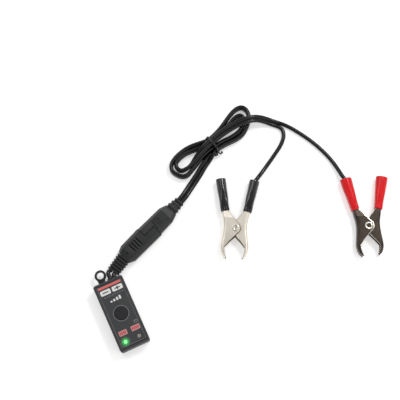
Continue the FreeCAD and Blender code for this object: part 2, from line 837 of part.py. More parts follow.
def export_clip(name, place, turn, close, fixed_side):
    """The wide half is the left one; the half with the lead is the fixed one."""
    widths = {-1: clip_outer_width, 1: inner_width}
    for side in (-1, 1):
        label = "fixed" if side == fixed_side else "moving"
        hole = eyelet_radius if side == fixed_side else eyelet_radius + slide_fit
        export(name + "_" + label + "_half", put(clip_half(side, widths[side], hole, close), place, turn))
        export(name + "_" + label + "_sleeve", put(clip_sleeve(side, close), place, turn))
    export(name + "_eyelet", put(clip_eyelet(), place, turn))
    export(name + "_spring", put(clip_spring(close), place, turn))
    export(name + "_wire_end", put(wire_end(fixed_side, close), place, turn))


# ---------------------------------------------------------------- hank and tie

def spline_prism(points, height):
    """Upright solid whose outline is a closed smooth curve through the points."""
    curve = Part.BSplineCurve()
    curve.interpolate([V(x, y, 0) for x, y in points], PeriodicFlag=True)
    return Part.Face(Part.Wire(curve.toShape())).extrude(V(0, 0, height))


upper_loop = [(-25.0, 91.4), (-20.8, 95.8), (-16.4, 100.4), (-12.6, 106.6), (-7.4, 113.6), (-0.4, 117.8),
              (5.2, 115.0), (6.9, 108.6), (5.6, 101.0), (1.4, 94.2), (-6.2, 89.4), (-13.8, 85.8), (-17.8, 82.8)]
upper_hole = [(-13.4, 96.4), (-9.4, 102.4), (-4.8, 107.4), (-0.8, 108.4), (0.4, 104.8), (-2.6, 99.2), (-8.4, 94.8)]
lower_loop = [(-21.0, 86.4), (-24.2, 82.8), (-28.9, 78.4), (-34.2, 70.4), (-38.4, 64.8), (-43.6, 62.2),
              (-49.4, 64.4), (-52.8, 70.0), (-51.4, 76.6), (-45.6, 82.6), (-37.4, 87.4), (-29.6, 90.8), (-23.4, 90.4)]
lower_hole = [(-31.0, 83.8), (-36.8, 82.6), (-41.6, 79.2), (-44.6, 73.6), (-43.4, 70.2), (-38.6, 72.6), (-33.0, 78.2)]


def turned_block(width, length, height, along, base):
    """Block across the bundle at a distance along it from the waist's middle."""
    shape = block(length, width, height, (along, 0), base)
    return put(shape, waist_place, waist_heading)


def near_stub():
    """Last stretch of the lead under the tie, as part of the bundle; the free lead butts on its face."""
    stub = block(near_stub_length, twin_width, hank_height, (near_stub_length / 2, 0))
    return put(stub, near_end, near_heading)


def lead_hank():
    loops = fuse([spline_prism(upper_loop, hank_height), spline_prism(lower_loop, hank_height),
                  turned_block(waist_width, waist_length, hank_height, 0, 0), near_stub()])
    loops = cut(loops, [spline_prism(upper_hole, hank_height), spline_prism(lower_hole, hank_height)])
    exit_strand = block(waist_length, twin_width, waist_top - hank_height, (0, exit_side), hank_height)
    top = put(exit_strand, waist_place, waist_heading)
    notch = turned_block(3 * waist_width, tie_width, tie_thick, 0, 0)
    around = turned_block(3 * waist_width, tie_width, waist_top, 0, 0)
    around = around.cut(turned_block(waist_width, 2 * tie_width, waist_top, 0, 0))
    return cut(fuse([loops, top]), [notch, around])


def hank_tie():
    outer = turned_block(waist_width + 2 * tie_thick, tie_width, waist_top + tie_thick, 0, 0)
    inner = turned_block(waist_width, 2 * tie_width, waist_top - tie_thick, 0, tie_thick)
    ring = outer.cut(inner)
    tail_place = (0, -waist_width / 2 - tie_thick - tie_tail / 2)
    tail = put(block(tie_width, tie_tail, 2.0, tail_place, 3.0), waist_place, waist_heading)
    return fuse([ring, tail])


# ---------------------------------------------------------------- routes of the cords, as they lie

floor_z = wire_diameter / 2
near_heading = 56.7
near_end = (-24.6, 77.6)
near_stub_length = 8.0
exit_side = 2.0             # the last strand's place across the bundle

near_straight = 3.7         # the twin runs straight out of the connector at least this far
twin_near_route = [(-37.2, 56.8, 2.4), (-31.6, 65.6, floor_z), (-28.0, 72.42, floor_z)]
twin_far_route = [(-5.8, 101.4, 8.15), (3.2, 105.6, 8.2), (10.6, 107.3, 7.0), (16.8, 107.2, 3.6),
                  (22.6, 105.6, floor_z)]
split_place = (26.8, 104.2, floor_z)
black_beside_twin = 3.8     # each single lead first keeps the twin's line this far
red_beside_twin = 5.8
black_route = [(31.6, 96.0, floor_z), (29.4, 88.8, floor_z), (23.6, 80.0, floor_z), (17.6, 71.4, floor_z),
               (13.4, 65.4, 2.6)]
red_route = [(42.0, 98.2, floor_z), (52.5, 90.6, floor_z), (62.0, 81.4, floor_z), (67.0, 75.0, floor_z),
             (70.6, 68.8, 2.6)]
# in the tester's own frame, from the connector's relief to the board
outer_wire_route = [(5.78, 31.66, 4.5), (3.9, 31.9, 4.9), (2.5, 30.6, 5.2)]
inner_wire_route = [(7.33, 28.86, 4.7)]
wire_straight = 2.85        # each wire runs straight out of the case at least this far


def pigtail_wires():
    wires = []
    for side, route in ((-1, outer_wire_route), (1, inner_wire_route)):
        x = wire_side + side * wire_diameter / 2
        end = case_end - case_wall - grommet_flange - wire_inside
        inside = [(x, case_end + wire_straight, split_height), (x, end, split_height)]
        wires.append(put(round_lead(route + inside, "pigtail wire"), tester_place, tester_turn))
    return wires


def twin_near():
    leave = [place_point((plug_end + run, 0, plug_middle), plug_start, plug_turn) for run in (0, near_straight)]
    return flat_lead(leave + twin_near_route + [(near_end[0], near_end[1], floor_z)], "twin near")


def twin_far():
    z = waist_top - wire_diameter / 2
    leave = [place_point((waist_length / 2 + run, exit_side, z), waist_place, waist_heading) for run in (0, 8)]
    return flat_lead(leave + twin_far_route + [split_place], "twin far")


def clip_lead(route, name, run, side, close, place, turn):
    """Single lead from the split, first beside its twin for the length run, to its clip's handle."""
    along = (V(*split_place) - V(*twin_far_route[-1])).normalize()
    start = V(*split_place) + V(along.y, -along.x, 0).normalize() * (side * wire_diameter / 2)
    end = handle_length - lead_in_handle
    inside = [lead_entry(end + 10.2, 1.7, side, close, place, turn),
              lead_entry(end + 5.0, lead_out - 0.25, side, close, place, turn),
              lead_entry(end, lead_out, side, close, place, turn)]
    return round_lead([start, start + along * run] + route + inside, name)


# ---------------------------------------------------------------- the whole

def main():
    os.makedirs("parts", exist_ok=True)

    def tester(node, shapes):
        shapes = shapes if isinstance(shapes, list) else [shapes]
        export(node, [put(shape, tester_place, tester_turn) for shape in shapes])

    def plug(node, shape):
        export(node, put(shape, plug_start, plug_turn))

    tester("case_back", case_back())
    tester("case_front", case_front())
    tester("face_label", face_label())
    tester("circuit_board", circuit_board())
    tester("green_lamp", lamp(lamp_places[0]))
    tester("red_lamp", lamp(lamp_places[1]))
    tester("lamp_legs", lamp_legs())
    tester("test_button", test_button())
    tester("switch_plunger", switch_plunger())
    tester("tact_switch", tact_switch())
    tester("board_parts", board_parts())
    tester("case_screws", case_screws())
    tester("key_loop", key_loop())
    tester("pigtail_grommet", pigtail_grommet())

    wires = pigtail_wires()
    export("pigtail_wires", wires)
    export("tester_plug_body", cut(put(tester_plug_body(), plug_start, plug_turn), wires))
    plug("tester_plug_pin", plug_pin(left_face, 1, 1))
    plug("tester_plug_socket", plug_socket(right_face, -1, -1))
    plug("lead_plug_body", lead_plug_body())
    plug("lead_plug_pin", plug_pin(right_face, -1, -1))
    plug("lead_plug_socket", plug_socket(left_face, 1, 1))

    export_clip("black", black_clip_place, black_clip_turn, black_handle_close, 1)
    export_clip("red", red_clip_place, red_clip_turn, red_handle_close, -1)

    export("twin_near", twin_near())
    export("lead_hank", lead_hank())
    export("hank_tie", hank_tie())
    export("twin_far", twin_far())
    export("black_lead", clip_lead(black_route, "black lead", black_beside_twin, 1, black_handle_close, black_clip_place,
                                   black_clip_turn))
    export("red_lead", clip_lead(red_route, "red lead", red_beside_twin, -1, red_handle_close, red_clip_place, red_clip_turn))


main()
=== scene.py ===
import bmesh
import bpy
import json
import math
import numpy as np
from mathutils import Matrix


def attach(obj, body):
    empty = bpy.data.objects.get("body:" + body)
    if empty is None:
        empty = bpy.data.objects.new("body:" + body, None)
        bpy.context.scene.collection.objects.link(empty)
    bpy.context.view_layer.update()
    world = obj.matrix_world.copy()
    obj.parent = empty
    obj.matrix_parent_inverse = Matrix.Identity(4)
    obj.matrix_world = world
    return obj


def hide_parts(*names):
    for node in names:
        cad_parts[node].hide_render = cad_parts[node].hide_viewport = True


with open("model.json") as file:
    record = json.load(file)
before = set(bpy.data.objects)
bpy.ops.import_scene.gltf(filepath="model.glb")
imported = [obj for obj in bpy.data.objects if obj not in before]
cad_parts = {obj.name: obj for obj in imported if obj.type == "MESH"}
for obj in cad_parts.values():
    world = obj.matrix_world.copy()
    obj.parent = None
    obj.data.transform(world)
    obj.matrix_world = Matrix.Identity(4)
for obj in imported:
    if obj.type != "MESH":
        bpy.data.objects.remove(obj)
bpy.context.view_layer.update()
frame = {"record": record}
scene = bpy.context.scene

mm = 0.001
layoutShift = np.array([-0.15, 0.01, 0.0])    # from the layout's own millimetres to the model's origin


# ---- small helpers ----

def metres(points):
    # layout millimetres, an n by 3 array, moved to the origin and scaled to metres
    return (np.array(points, float) + layoutShift) * mm


def placed(points, place, turn):
    # points in a piece's own plan, turned about +Z by turn degrees and moved to place, in layout millimetres
    p = np.array(points, float)
    c, s = math.cos(math.radians(turn)), math.sin(math.radians(turn))
    x = p[..., 0] * c - p[..., 1] * s + place[0]
    y = p[..., 0] * s + p[..., 1] * c + place[1]
    return np.stack([x, y, p[..., 2]], axis=-1)


def addMesh(name, points, faces, material, smooth=True):
    # a mesh object at the origin from metre points and faces, with one material
    mesh = bpy.data.meshes.new(name)
    mesh.from_pydata(np.asarray(points, float).reshape(-1, 3).tolist(), [], [list(map(int, f)) for f in faces])
    mesh.validate()
    mesh.polygons.foreach_set("use_smooth", [smooth] * len(mesh.polygons))
    mesh.materials.append(material)
    piece = bpy.data.objects.new(name, mesh)
    scene.collection.objects.link(piece)
    return piece


def gridFaces(rows, columns, closedRow=True):
    # quads between neighbouring rows of a grid, each row closed on itself when it goes round a section
    r = np.arange(rows - 1)[:, None]
    c = np.arange(columns if closedRow else columns - 1)[None, :]
    a, b = r * columns + c, r * columns + (c + 1) % columns
    return np.stack([a, b, b + columns, a + columns], axis=-1).reshape(-1, 4).tolist()


def capped(rows, columns):
    # the faces of a closed tube: its quads, and one many-sided face over each end
    ends = [list(range(columns))[::-1], [(rows - 1) * columns + i for i in range(columns)]]
    return gridFaces(rows, columns) + ends


def recalculated(piece, merge=0.0):
    # points closer than merge millimetres joined, and normals turned outwards over the whole closed piece
    work = bmesh.new()
    work.from_mesh(piece.data)
    if merge:
        bmesh.ops.remove_doubles(work, verts=work.verts, dist=merge * mm)
    bmesh.ops.recalc_face_normals(work, faces=work.faces)
    work.to_mesh(piece.data)
    work.free()


def allRound(count):
    # even angles round a full turn
    return np.linspace(0, 2 * np.pi, count, endpoint=False)


def squarish(t, power):
    # a superellipse at angle t: |u|^(2/power) + |v|^(2/power) = 1, square for a low power and round at 1
    c, s = np.cos(t), np.sin(t)
    return np.sign(c) * np.abs(c) ** power, np.sign(s) * np.abs(s) ** power


def bodyOf(node):
    return next(body for body, nodes in frame["record"]["behaviour"]["bodies"].items() if node in nodes)


def standsFor(piece, node):
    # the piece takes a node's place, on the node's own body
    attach(piece, bodyOf(node))
    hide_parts(node)


def splineCurve(name, points):
    # an open quadratic NURBS curve with the points as its control points, and no bevel
    curve = bpy.data.curves.new(name, "CURVE")
    curve.dimensions = "3D"
    spline = curve.splines.new("NURBS")
    spline.points.add(len(points) - 1)
    spline.points.foreach_set("co", np.c_[points, np.ones(len(points))].ravel())
    spline.order_u = 3
    spline.use_endpoint_u = True
    curve.resolution_u = 12
    return curve


def splinePath(name, points):
    # points along that curve, as the curve itself gives them
    curve = splineCurve(name, points)
    holder = bpy.data.objects.new(name, curve)
    scene.collection.objects.link(holder)
    mesh = bpy.data.meshes.new_from_object(holder)
    path = np.empty(len(mesh.vertices) * 3)
    mesh.vertices.foreach_get("co", path)
    bpy.data.objects.remove(holder)
    bpy.data.curves.remove(curve)
    bpy.data.meshes.remove(mesh)
    path = path.reshape(-1, 3)
    keep = np.r_[True, np.linalg.norm(np.diff(path, axis=0), axis=1) > 0.01 * mm]
    return path[keep]


def unit(vectors):
    return vectors / np.linalg.norm(vectors, axis=-1, keepdims=True)


def sweep(path, section, roll):
    # the section's plan (across, thick) at each path point: across is the level direction square to the path,
    # tipped about the path by roll degrees towards upright
    along = unit(np.gradient(path, axis=0))
    level = unit(np.cross(along, [0.0, 0.0, 1.0]))
    rise = np.cross(level, along)
    angle = np.radians(roll)[:, None]
    across = level * np.cos(angle) + rise * np.sin(angle)
    thick = np.cross(across, along)
    return path[:, None, :] + across[:, None, :] * section[None, :, :1] + thick[:, None, :] * section[None, :, 1:]


# ---- materials ----

def linearColour(code):
    # an sRGB hex colour as linear red, green, blue, alpha
    parts = [int(code[i:i + 2], 16) / 255 for i in (1, 3, 5)]
    return [c / 12.92 if c <= 0.04045 else ((c + 0.055) / 1.055) ** 2.4 for c in parts] + [1.0]


def feed(node, key, value):
    # a plain value or another node's output socket goes into one of the node's inputs
    if isinstance(value, bpy.types.NodeSocket):
        node.id_data.links.new(value, node.inputs[key])
    else:
        node.inputs[key].default_value = value


def addNode(tree, kind, inputs=None, **settings):
    # a node with its settings and its inputs
    node = tree.nodes.new(kind)
    for key, value in settings.items():
        setattr(node, key, value)
    for key, value in (inputs or {}).items():
        feed(node, key, value)
    return node


def newMaterial(name):
    material = bpy.data.materials.new(name)
    material.use_nodes = True
    tree = material.node_tree
    shader = tree.nodes["Principled BSDF"]
    return material, tree, shader


def setShader(shader, **values):
    for key, value in values.items():
        feed(shader, key.replace("_", " "), value)


def objectPlace(tree):
    return addNode(tree, "ShaderNodeTexCoord").outputs["Object"]


def noise(tree, place, size, detail):
    # soft noise with features about size millimetres across
    return addNode(tree, "ShaderNodeTexNoise", {"Vector": place, "Scale": 1 / (size * mm),
                                               "Detail": detail}).outputs["Fac"]


def between(tree, factor, first, second):
    # a shade between two sRGB hex colours
    return addNode(tree, "ShaderNodeMix", {"Factor": factor, "A": linearColour(first), "B": linearColour(second)},
                   data_type="RGBA").outputs["Result"]


def rangeTo(tree, value, low, high):
    return addNode(tree, "ShaderNodeMapRange", {"Value": value, "To Min": low, "To Max": high}).outputs["Result"]


def bumped(tree, height, strength, depth):
    # a normal bent by the height, for a relief of depth millimetres
    return addNode(tree, "ShaderNodeBump", {"Height": height, "Strength": strength,
                                           "Distance": depth * mm}).outputs["Normal"]


def plainPlastic(name, dark, light, roughness, grain, depth, coat=0.0, shine=0.32):
    # moulded plastic: two close shades in soft clouds, and a fine grain of the given size in millimetres
    material, tree, shader = newMaterial(name)
    place = objectPlace(tree)
    shade = between(tree, noise(tree, place, 9, 3.0), dark, light)
    fine = noise(tree, place, grain, 4.0)
    setShader(shader, Base_Color=shade, Roughness=rangeTo(tree, fine, roughness - 0.06, roughness + 0.08),
              Normal=bumped(tree, fine, 0.35, depth), IOR=1.5, Specular_IOR_Level=shine, Coat_Weight=coat,
              Coat_Roughness=0.12)
    return material


pvcCord = plainPlastic("extruded black PVC cord", "#050506", "#0b0b0c", 0.22, 0.5, 0.006, shine=0.36)
tieStrap = plainPlastic("black coated tie", "#070708", "#0e0e0f", 0.25, 0.3, 0.02, shine=0.6)
caseAbs = plainPlastic("spark-textured grey ABS", "#36373a", "#3f4043", 0.5, 0.35, 0.03)    # fine satin tooth
plugRubber = plainPlastic("moulded dark rubber", "#1a1b1c", "#262728", 0.42, 0.4, 0.05, shine=0.42)    # soft shine
ringPlastic = plainPlastic("gloss black ring plastic", "#080809", "#0f0f10", 0.24, 0.4, 0.015, shine=0.6)
# dark colour painted as the shade in the connector's parting line, grip slots, relief grooves and gate mark
partingShadow = plainPlastic("painted shade in gaps, slots and grooves", "#070708", "#0d0d0e", 0.8, 0.4, 0.02)
buttonRubber = plainPlastic("silicone key rubber", "#1b1b1e", "#232326", 0.62, 0.3, 0.02)
componentEpoxy = plainPlastic("black moulded epoxy", "#151515", "#1e1e1e", 0.45, 0.3, 0.02)
boardEpoxy = plainPlastic("green lacquered board", "#0f4a26", "#146033", 0.32, 1.2, 0.02, coat=0.3)


def vinylSleeve(name, deep, pale, roughness, coat, shine):
    # dip-moulded vinyl: one clear colour with a slow change of shade, glossy skin and a faint orange peel
    material, tree, shader = newMaterial(name)
    place = objectPlace(tree)
    shade = between(tree, noise(tree, place, 7, 2.0), deep, pale)
    peel = bumped(tree, noise(tree, place, 1.6, 2.0), 0.3, 0.06)
    setShader(shader, Base_Color=shade, Normal=peel, Roughness=roughness, IOR=1.53, Specular_IOR_Level=shine,
              Coat_Weight=coat, Coat_Roughness=0.08)
    return material


def platedSteel(name, dark, pale, low, high):
    # pressed and plated sheet: cloudy tone and fine drawing lines 0.3 mm apart, which vary the gloss
    material, tree, shader = newMaterial(name)
    place = objectPlace(tree)
    shade = between(tree, noise(tree, place, 5, 4.0), dark, pale)
    stretched = addNode(tree, "ShaderNodeMapping", {"Vector": place, "Scale": (1, 0.06, 1)})
    lines = noise(tree, stretched.outputs["Vector"], 0.3, 3.0)
    setShader(shader, Base_Color=shade, Roughness=rangeTo(tree, lines, low, high),
              Normal=bumped(tree, lines, 0.25, 0.03), Metallic=1.0)
    return material


redVinyl = vinylSleeve("red dipped vinyl", "#cf020c", "#ec0d18", 0.26, 0.12, 0.3)
blackVinyl = vinylSleeve("black dipped vinyl", "#050506", "#0d0d0e", 0.2, 0.8, 0.4)
brightNickel = platedSteel("bright nickel plate", "#dcd3c5", "#f2ebdf", 0.28, 0.4)    # warm pale metal
darkNickel = platedSteel("darkened nickel plate", "#39332e", "#524a42", 0.24, 0.4)    # gunmetal tone
# pale nickel of the rivets; on the red clip's rims partly sheared metal, partly painted highlight
paleMetalAndRimHighlight = platedSteel("pale sheared metal and painted rim highlight", "#cfc6ba", "#e6dfd4", 0.22, 0.34)    # pale line round dark plate
# brown edge colour for the black clip: painted contact shadow and brown reflection along its cheek edges
paintedEdgeShade = platedSteel("nickel edge in painted shade", "#6e6252", "#8d806d", 0.3, 0.42)    # brown line
springSteel = platedSteel("drawn spring steel", "#6f6c68", "#8d8983", 0.25, 0.4)
tinnedBrass = platedSteel("tinned brass", "#b8b2a2", "#cfc9b8", 0.25, 0.4)
tinnedCopper = platedSteel("tinned copper strands", "#b97f5c", "#d0a184", 0.3, 0.5)
screwSteel = platedSteel("zinc plated screw steel", "#8f9092", "#b3b4b6", 0.25, 0.4)


# ---- twin flex: from the connector through the tied hank to the split ----

twin = {
    "width": 6.0,
    "thick": 3.0,
    "groove": 168.0,    # degrees round each core before the groove between them starts
    "arcPoints": 11,
}

# layout millimetres x, y, z, and the flex's roll: 0 lies flat, 90 stands on edge
twinRoute = np.array([
    (-45.23, 44.87, 4.5, 0), (-42.68, 47.55, 4.5, 0), (-37.2, 56.8, 2.4, 0), (-31.6, 65.6, 1.55, 0),
    (-28.0, 72.4, 1.55, 0), (-24.2, 77.4, 2.3, 15), (-21.3, 81.2, 3.4, 60), (-18.3, 83.9, 3.1, 90),
    (-13.6, 87.4, 3.0, 90), (-8.6, 89.9, 3.0, 90), (-3.6, 92.3, 3.0, 90), (1.0, 95.8, 3.0, 90),
    (3.9, 101.2, 3.0, 90), (5.5, 106.4, 3.0, 90), (5.6, 110.8, 3.0, 90), (3.6, 115.2, 3.0, 90),
    (0.2, 117.1, 3.0, 90), (-3.9, 115.6, 3.0, 90), (-8.2, 111.2, 3.0, 90), (-12.5, 104.7, 3.0, 90),
    (-16.1, 99.6, 3.0, 90), (-20.2, 95.2, 3.0, 90), (-24.4, 91.2, 3.0, 90), (-29.8, 89.2, 3.0, 90),
    (-37.2, 86.7, 3.0, 90), (-42.9, 83.3, 3.0, 90), (-48.7, 78.0, 3.0, 90), (-51.8, 72.8, 3.0, 90),
    (-51.3, 68.0, 3.0, 90), (-48.6, 65.6, 3.0, 90), (-43.8, 63.3, 3.0, 90), (-39.6, 64.5, 3.0, 90),
    (-36.8, 68.2, 3.0, 90), (-34.2, 71.4, 3.0, 90), (-29.4, 78.2, 3.0, 90), (-25.0, 82.6, 3.0, 90),
    (-20.3, 86.1, 3.0, 90), (-14.5, 90.2, 3.0, 90), (-8.0, 93.2, 3.0, 90), (-1.9, 97.6, 3.0, 90),
    (1.5, 103.4, 3.0, 90), (2.0, 107.8, 3.0, 90), (-0.5, 110.8, 3.0, 90), (-4.8, 109.0, 3.0, 90),
    (-9.6, 102.9, 3.0, 90), (-13.4, 97.6, 3.0, 90), (-18.0, 92.6, 3.0, 90), (-22.6, 88.5, 3.0, 90),
    (-28.4, 85.9, 3.0, 90), (-36.4, 83.4, 3.0, 90), (-43.0, 80.2, 3.0, 90), (-48.3, 74.6, 3.0, 90),
    (-47.8, 70.3, 3.0, 90), (-44.4, 67.3, 3.1, 88), (-38.4, 70.7, 3.6, 80), (-34.1, 76.0, 4.8, 62),
    (-30.1, 81.4, 6.6, 30), (-25.9, 85.9, 7.9, 5), (-20.45, 90.48, 8.1, 0), (-14.41, 95.73, 8.1, 0),
    (-5.8, 101.4, 8.15, 0), (3.2, 105.6, 8.2, 0), (10.6, 107.3, 7.0, 0), (16.8, 107.2, 3.6, 0),
    (22.6, 105.6, 1.65, 0), (26.8, 104.2, 1.5, 0)])


def twinSection():
    # two round cores side by side: each is an arc of the thickness's radius, stopping at the groove between them
    radius = twin["thick"] / 2
    arc = np.radians(np.linspace(-twin["groove"], twin["groove"], twin["arcPoints"]))
    right = np.c_[(twin["width"] / 2 - radius) + radius * np.cos(arc), radius * np.sin(arc)]
    return np.r_[right, -right] * mm


def alongRoll(route, path):
    # the roll at each path point: the curve passes the middle of each run of its control points, so their rolls
    # are matched at the nearest path points and blended by length between them
    steps = np.r_[0, np.cumsum(np.linalg.norm(np.diff(path, axis=0), axis=1))]
    spots = metres(np.r_[route[:1, :3], (route[1:, :3] + route[:-1, :3]) / 2, route[-1:, :3]])
    rolls = np.r_[route[0, 3], (route[1:, 3] + route[:-1, 3]) / 2, route[-1, 3]]
    nearest = np.maximum.accumulate([np.argmin(np.linalg.norm(path - spot, axis=1)) for spot in spots])
    keep = np.r_[True, np.diff(nearest) > 0]
    return np.interp(steps, steps[nearest[keep]], rolls[keep])


def pathLength(path):
    return float(np.linalg.norm(np.diff(path, axis=0), axis=1).sum())


def makeTwin():
    path = splinePath("twinLine", metres(twinRoute[:, :3]))
    roll = alongRoll(twinRoute, path)
    section = twinSection()
    rings = sweep(path, section, roll)
    piece = addMesh("twin_flex", rings, capped(len(path), len(section)), pvcCord)
    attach(piece, "lead")
    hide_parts("twin_near", "lead_hank", "twin_far")
    return piece, path


# ---- the two single leads, from the split to the clips ----

leads = {
    "diameter": 3.0,
    "black": [(26.33, 102.78, 1.5), (29.93, 101.58, 1.5), (31.6, 96.0, 1.5), (29.4, 88.8, 1.5), (23.6, 80.0, 1.5),
              (17.6, 71.4, 1.5), (13.4, 65.4, 2.6), (11.39, 62.6, 4.0), (8.05, 58.06, 4.0), (7.12, 53.14, 4.0)],
    "red": [(27.27, 105.62, 1.5), (32.78, 103.79, 1.5), (42.0, 98.2, 1.5), (52.5, 90.6, 1.5), (62.0, 81.4, 1.5),
            (67.0, 75.0, 1.5), (70.6, 68.8, 2.6), (72.79, 64.08, 4.0), (76.21, 59.6, 4.0), (77.23, 54.7, 4.0)],
}


def makeLead(colour):
    curve = splineCurve(colour + "_cord", metres(leads[colour]))
    curve.bevel_depth = leads["diameter"] / 2 * mm
    curve.bevel_resolution = 5
    curve.use_fill_caps = True
    curve.materials.append(pvcCord)
    piece = bpy.data.objects.new(colour + "_cord", curve)
    scene.collection.objects.link(piece)
    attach(piece, "lead")
    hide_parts(colour + "_lead")
    path = splinePath(colour + "Line", metres(leads[colour]))


# ---- tie round the hank ----

tie = {
    "middle": (-21.4, 87.0),
    "heading": 41.0,
    "across": 13.2,
    "rise": 9.9,
    "width": 1.6,
    "thick": 0.6,
    "wander": 0.5,    # how far the strap strays along the bundle as it goes round
    "lag": 0.6,       # radians round the strap before the straying starts
    "corner": 0.5,
    "tails": [        # each twisted end: its points, and its roll at both ends
        ([(-17.3, 82.3, 6.0), (-16.2, 81.0, 4.4), (-15.0, 81.2, 3.4), (-14.2, 82.8, 2.6)], (20, 150)),
        ([(-17.3, 82.3, 4.6), (-17.2, 80.7, 4.0), (-18.3, 79.9, 3.0), (-19.3, 80.3, 2.0)], (60, 170)),
    ],
}


def makeTie():
    # a flat strap round a superellipse stretched to the bundle, its lower side kept on the table
    count = 72
    t = allRound(count)
    u, v = squarish(t, tie["corner"])
    rows = []
    for along, skin in ((-1, 0), (-1, 1), (1, 1), (1, 0)):
        w = tie["across"] / 2 + skin * tie["thick"]
        h = tie["rise"] / 2 + skin * tie["thick"] / 2
        x = along * tie["width"] / 2 + tie["wander"] * np.sin(t + tie["lag"])
        z = np.maximum(tie["rise"] / 2 + h * v, 0.0)
        rows.append(np.c_[x, w * u, z])
    ring = np.stack(rows, axis=1).reshape(-1, 3)
    index = np.arange(count)
    faces = []
    for k in range(4):
        a, b = index * 4 + k, index * 4 + (k + 1) % 4
        c, d = ((index + 1) % count) * 4 + (k + 1) % 4, ((index + 1) % count) * 4 + k
        faces += np.stack([a, d, c, b], axis=1).tolist()
    points = metres(placed(ring, tie["middle"], tie["heading"]))
    piece = addMesh("tie_strap", points, faces, tieStrap, smooth=False)
    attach(piece, "lead")
    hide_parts("hank_tie")
    for k, (points, (first, last)) in enumerate(tie["tails"]):
        path = splinePath("tieTail", metres(points))
        w, t = tie["width"] / 2 * mm, tie["thick"] / 2 * mm
        section = np.array([(w, t), (-w, t), (-w, -t), (w, -t)])
        rings = sweep(path, section, np.linspace(first, last, len(path)))
        tail = addMesh("tie_tail_%d" % (k + 1), rings, capped(len(path), len(section)), tieStrap, smooth=False)
        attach(tail, "lead")
    return piece


# ---- CAD pieces kept in shape, with their edges rounded ----

def nodeMesh(node):
    # a merged copy of a CAD node's mesh, with its flat areas joined into single faces
    source = bpy.data.objects[node]
    work = bmesh.new()
    work.from_mesh(source.data)
    bmesh.ops.remove_doubles(work, verts=work.verts, dist=0.002 * mm)
    bmesh.ops.dissolve_limit(work, angle_limit=math.radians(0.8), verts=work.verts, edges=work.edges)
    mesh = bpy.data.meshes.new(node + "_body")
    work.to_mesh(mesh)
    work.free()
    return mesh


def rounded(node, material, edge):
    # the node's own shape with every edge sharper than the limit rolled over by edge millimetres
    sharp = math.radians(finishes["sharp"])
    mesh = nodeMesh(node)
    mesh.materials.clear()
    mesh.materials.append(material)
    piece = bpy.data.objects.new(node + "_finished", mesh)
    scene.collection.objects.link(piece)
    bevel = piece.modifiers.new("edges", "BEVEL")
    bevel.width = edge * mm
    bevel.segments = 2
    bevel.limit_method = "ANGLE"
    bevel.angle_limit = sharp
    bevel.use_clamp_overlap = True
    bevel.harden_normals = True
    mesh.polygons.foreach_set("use_smooth", [True] * len(mesh.polygons))
    mesh.set_sharp_from_angle(angle=sharp)
    standsFor(piece, node)


def coat(node, material):
    # the CAD node as it is, in a new material
    for slot in bpy.data.objects[node].material_slots:
        slot.material = material


finishes = {
    "sharp": 32.0,    # degrees between faces above which an edge counts as sharp
    "edges": [("case_front", caseAbs, 0.25), ("case_back", caseAbs, 0.25), ("test_button", buttonRubber, 0.15),
              ("key_loop", ringPlastic, 0.3), ("pigtail_grommet", plugRubber, 0.2),
              ("tester_plug_body", plugRubber, 0.25), ("lead_plug_body", plugRubber, 0.25),
              ("circuit_board", boardEpoxy, 0.08), ("board_parts", componentEpoxy, 0.06),
              ("tact_switch", componentEpoxy, 0.1)],
    "plain": [("pigtail_wires", pvcCord), ("switch_plunger", componentEpoxy), ("lamp_legs", screwSteel),
              ("case_screws", screwSteel), ("tester_plug_pin", tinnedBrass), ("tester_plug_socket", tinnedBrass),
              ("lead_plug_pin", tinnedBrass), ("lead_plug_socket", tinnedBrass),
              ("black_wire_end", tinnedCopper), ("red_wire_end", tinnedCopper)],
}

for node, material, edge in finishes["edges"]:
    rounded(node, material, edge)
for node, material in finishes["plain"]:
    coat(node, material)
print("case, connector and inner pieces finished")


# ---- battery clips ----

clips = {
    "black": {"place": (-5.2, 24.6), "turn": -3.1, "close": 1.5, "fixedSide": 1,
              "plate": brightNickel, "edge": paintedEdgeShade, "vinyl": blackVinyl},
    "red": {"place": (90.1, 26.4), "turn": 2.7, "close": 0.0, "fixedSide": -1,
            "plate": darkNickel, "edge": paleMetalAndRimHighlight, "vinyl": redVinyl},
    "sheet": 0.8,
    "middle": 4.0,
    "wideHalf": 3.6,             # half height over the outer cheeks
    "slimHalf": 2.7,             # half height of the inner half and of every handle
    "slimming": (7.7, 11.7),     # between these heights up the plan the outer cheeks draw in to the slim handle
    "bend": 1.7,                 # outside radius where the back turns into the cheeks
    "bendShare": 0.6,            # the bend takes at most this share of a narrow row
    "arcPoints": 9,
    "cheekPoints": 15,
    "lobe": 4.0,
    "lobeReach": 3.3,            # the front edge follows the pivot lobe this far up and down
    "leastWidth": 0.9,
    "backSmoothing": 4,          # the back edge is averaged over this many rows on each side
    # where the rows start and stop up the plan, and how many there are
    "rows": [(-21.6, -14.0, 77), (-14.0, 14.0, 113), (14.0, 32.9, 30)],
    "hole": 2.25,
    "holeDepth": (-3.0, 11.0),
    "paintedEdgeBand": 0.36,            # width of the band round every sheared edge in the edge colour: painted shade on the black clip, painted highlight on the red
}

# left half's plan: its back edge and its front edge, as x at each y, from jaw tip to handle
backEdge = np.array([(-5.7, -21.6), (-7.9, -19.8), (-9.1, -17.4), (-9.7, -14.6), (-9.6, -11.4), (-8.9, -6.5),
                     (-8.4, -1.0), (-8.6, 3.6), (-9.6, 8.0), (-10.25, 11.8), (-11.5, 17.6), (-14.75, 32.9)])
frontEdge = np.array([(-4.9, -21.6), (-6.1, -20.2), (-5.7, -19.5), (-6.5, -18.8), (-6.1, -18.0), (-6.9, -17.3),
                      (-6.5, -16.5), (-7.1, -15.8), (-6.8, -15.0), (-7.1, -13.8), (-4.2, -10.2), (2.3, -3.3)])
handleFront = np.array([(2.3, 3.3), (-2.4, 8.3), (-6.15, 12.6), (-7.3, 17.6), (-10.6, 33.3)])


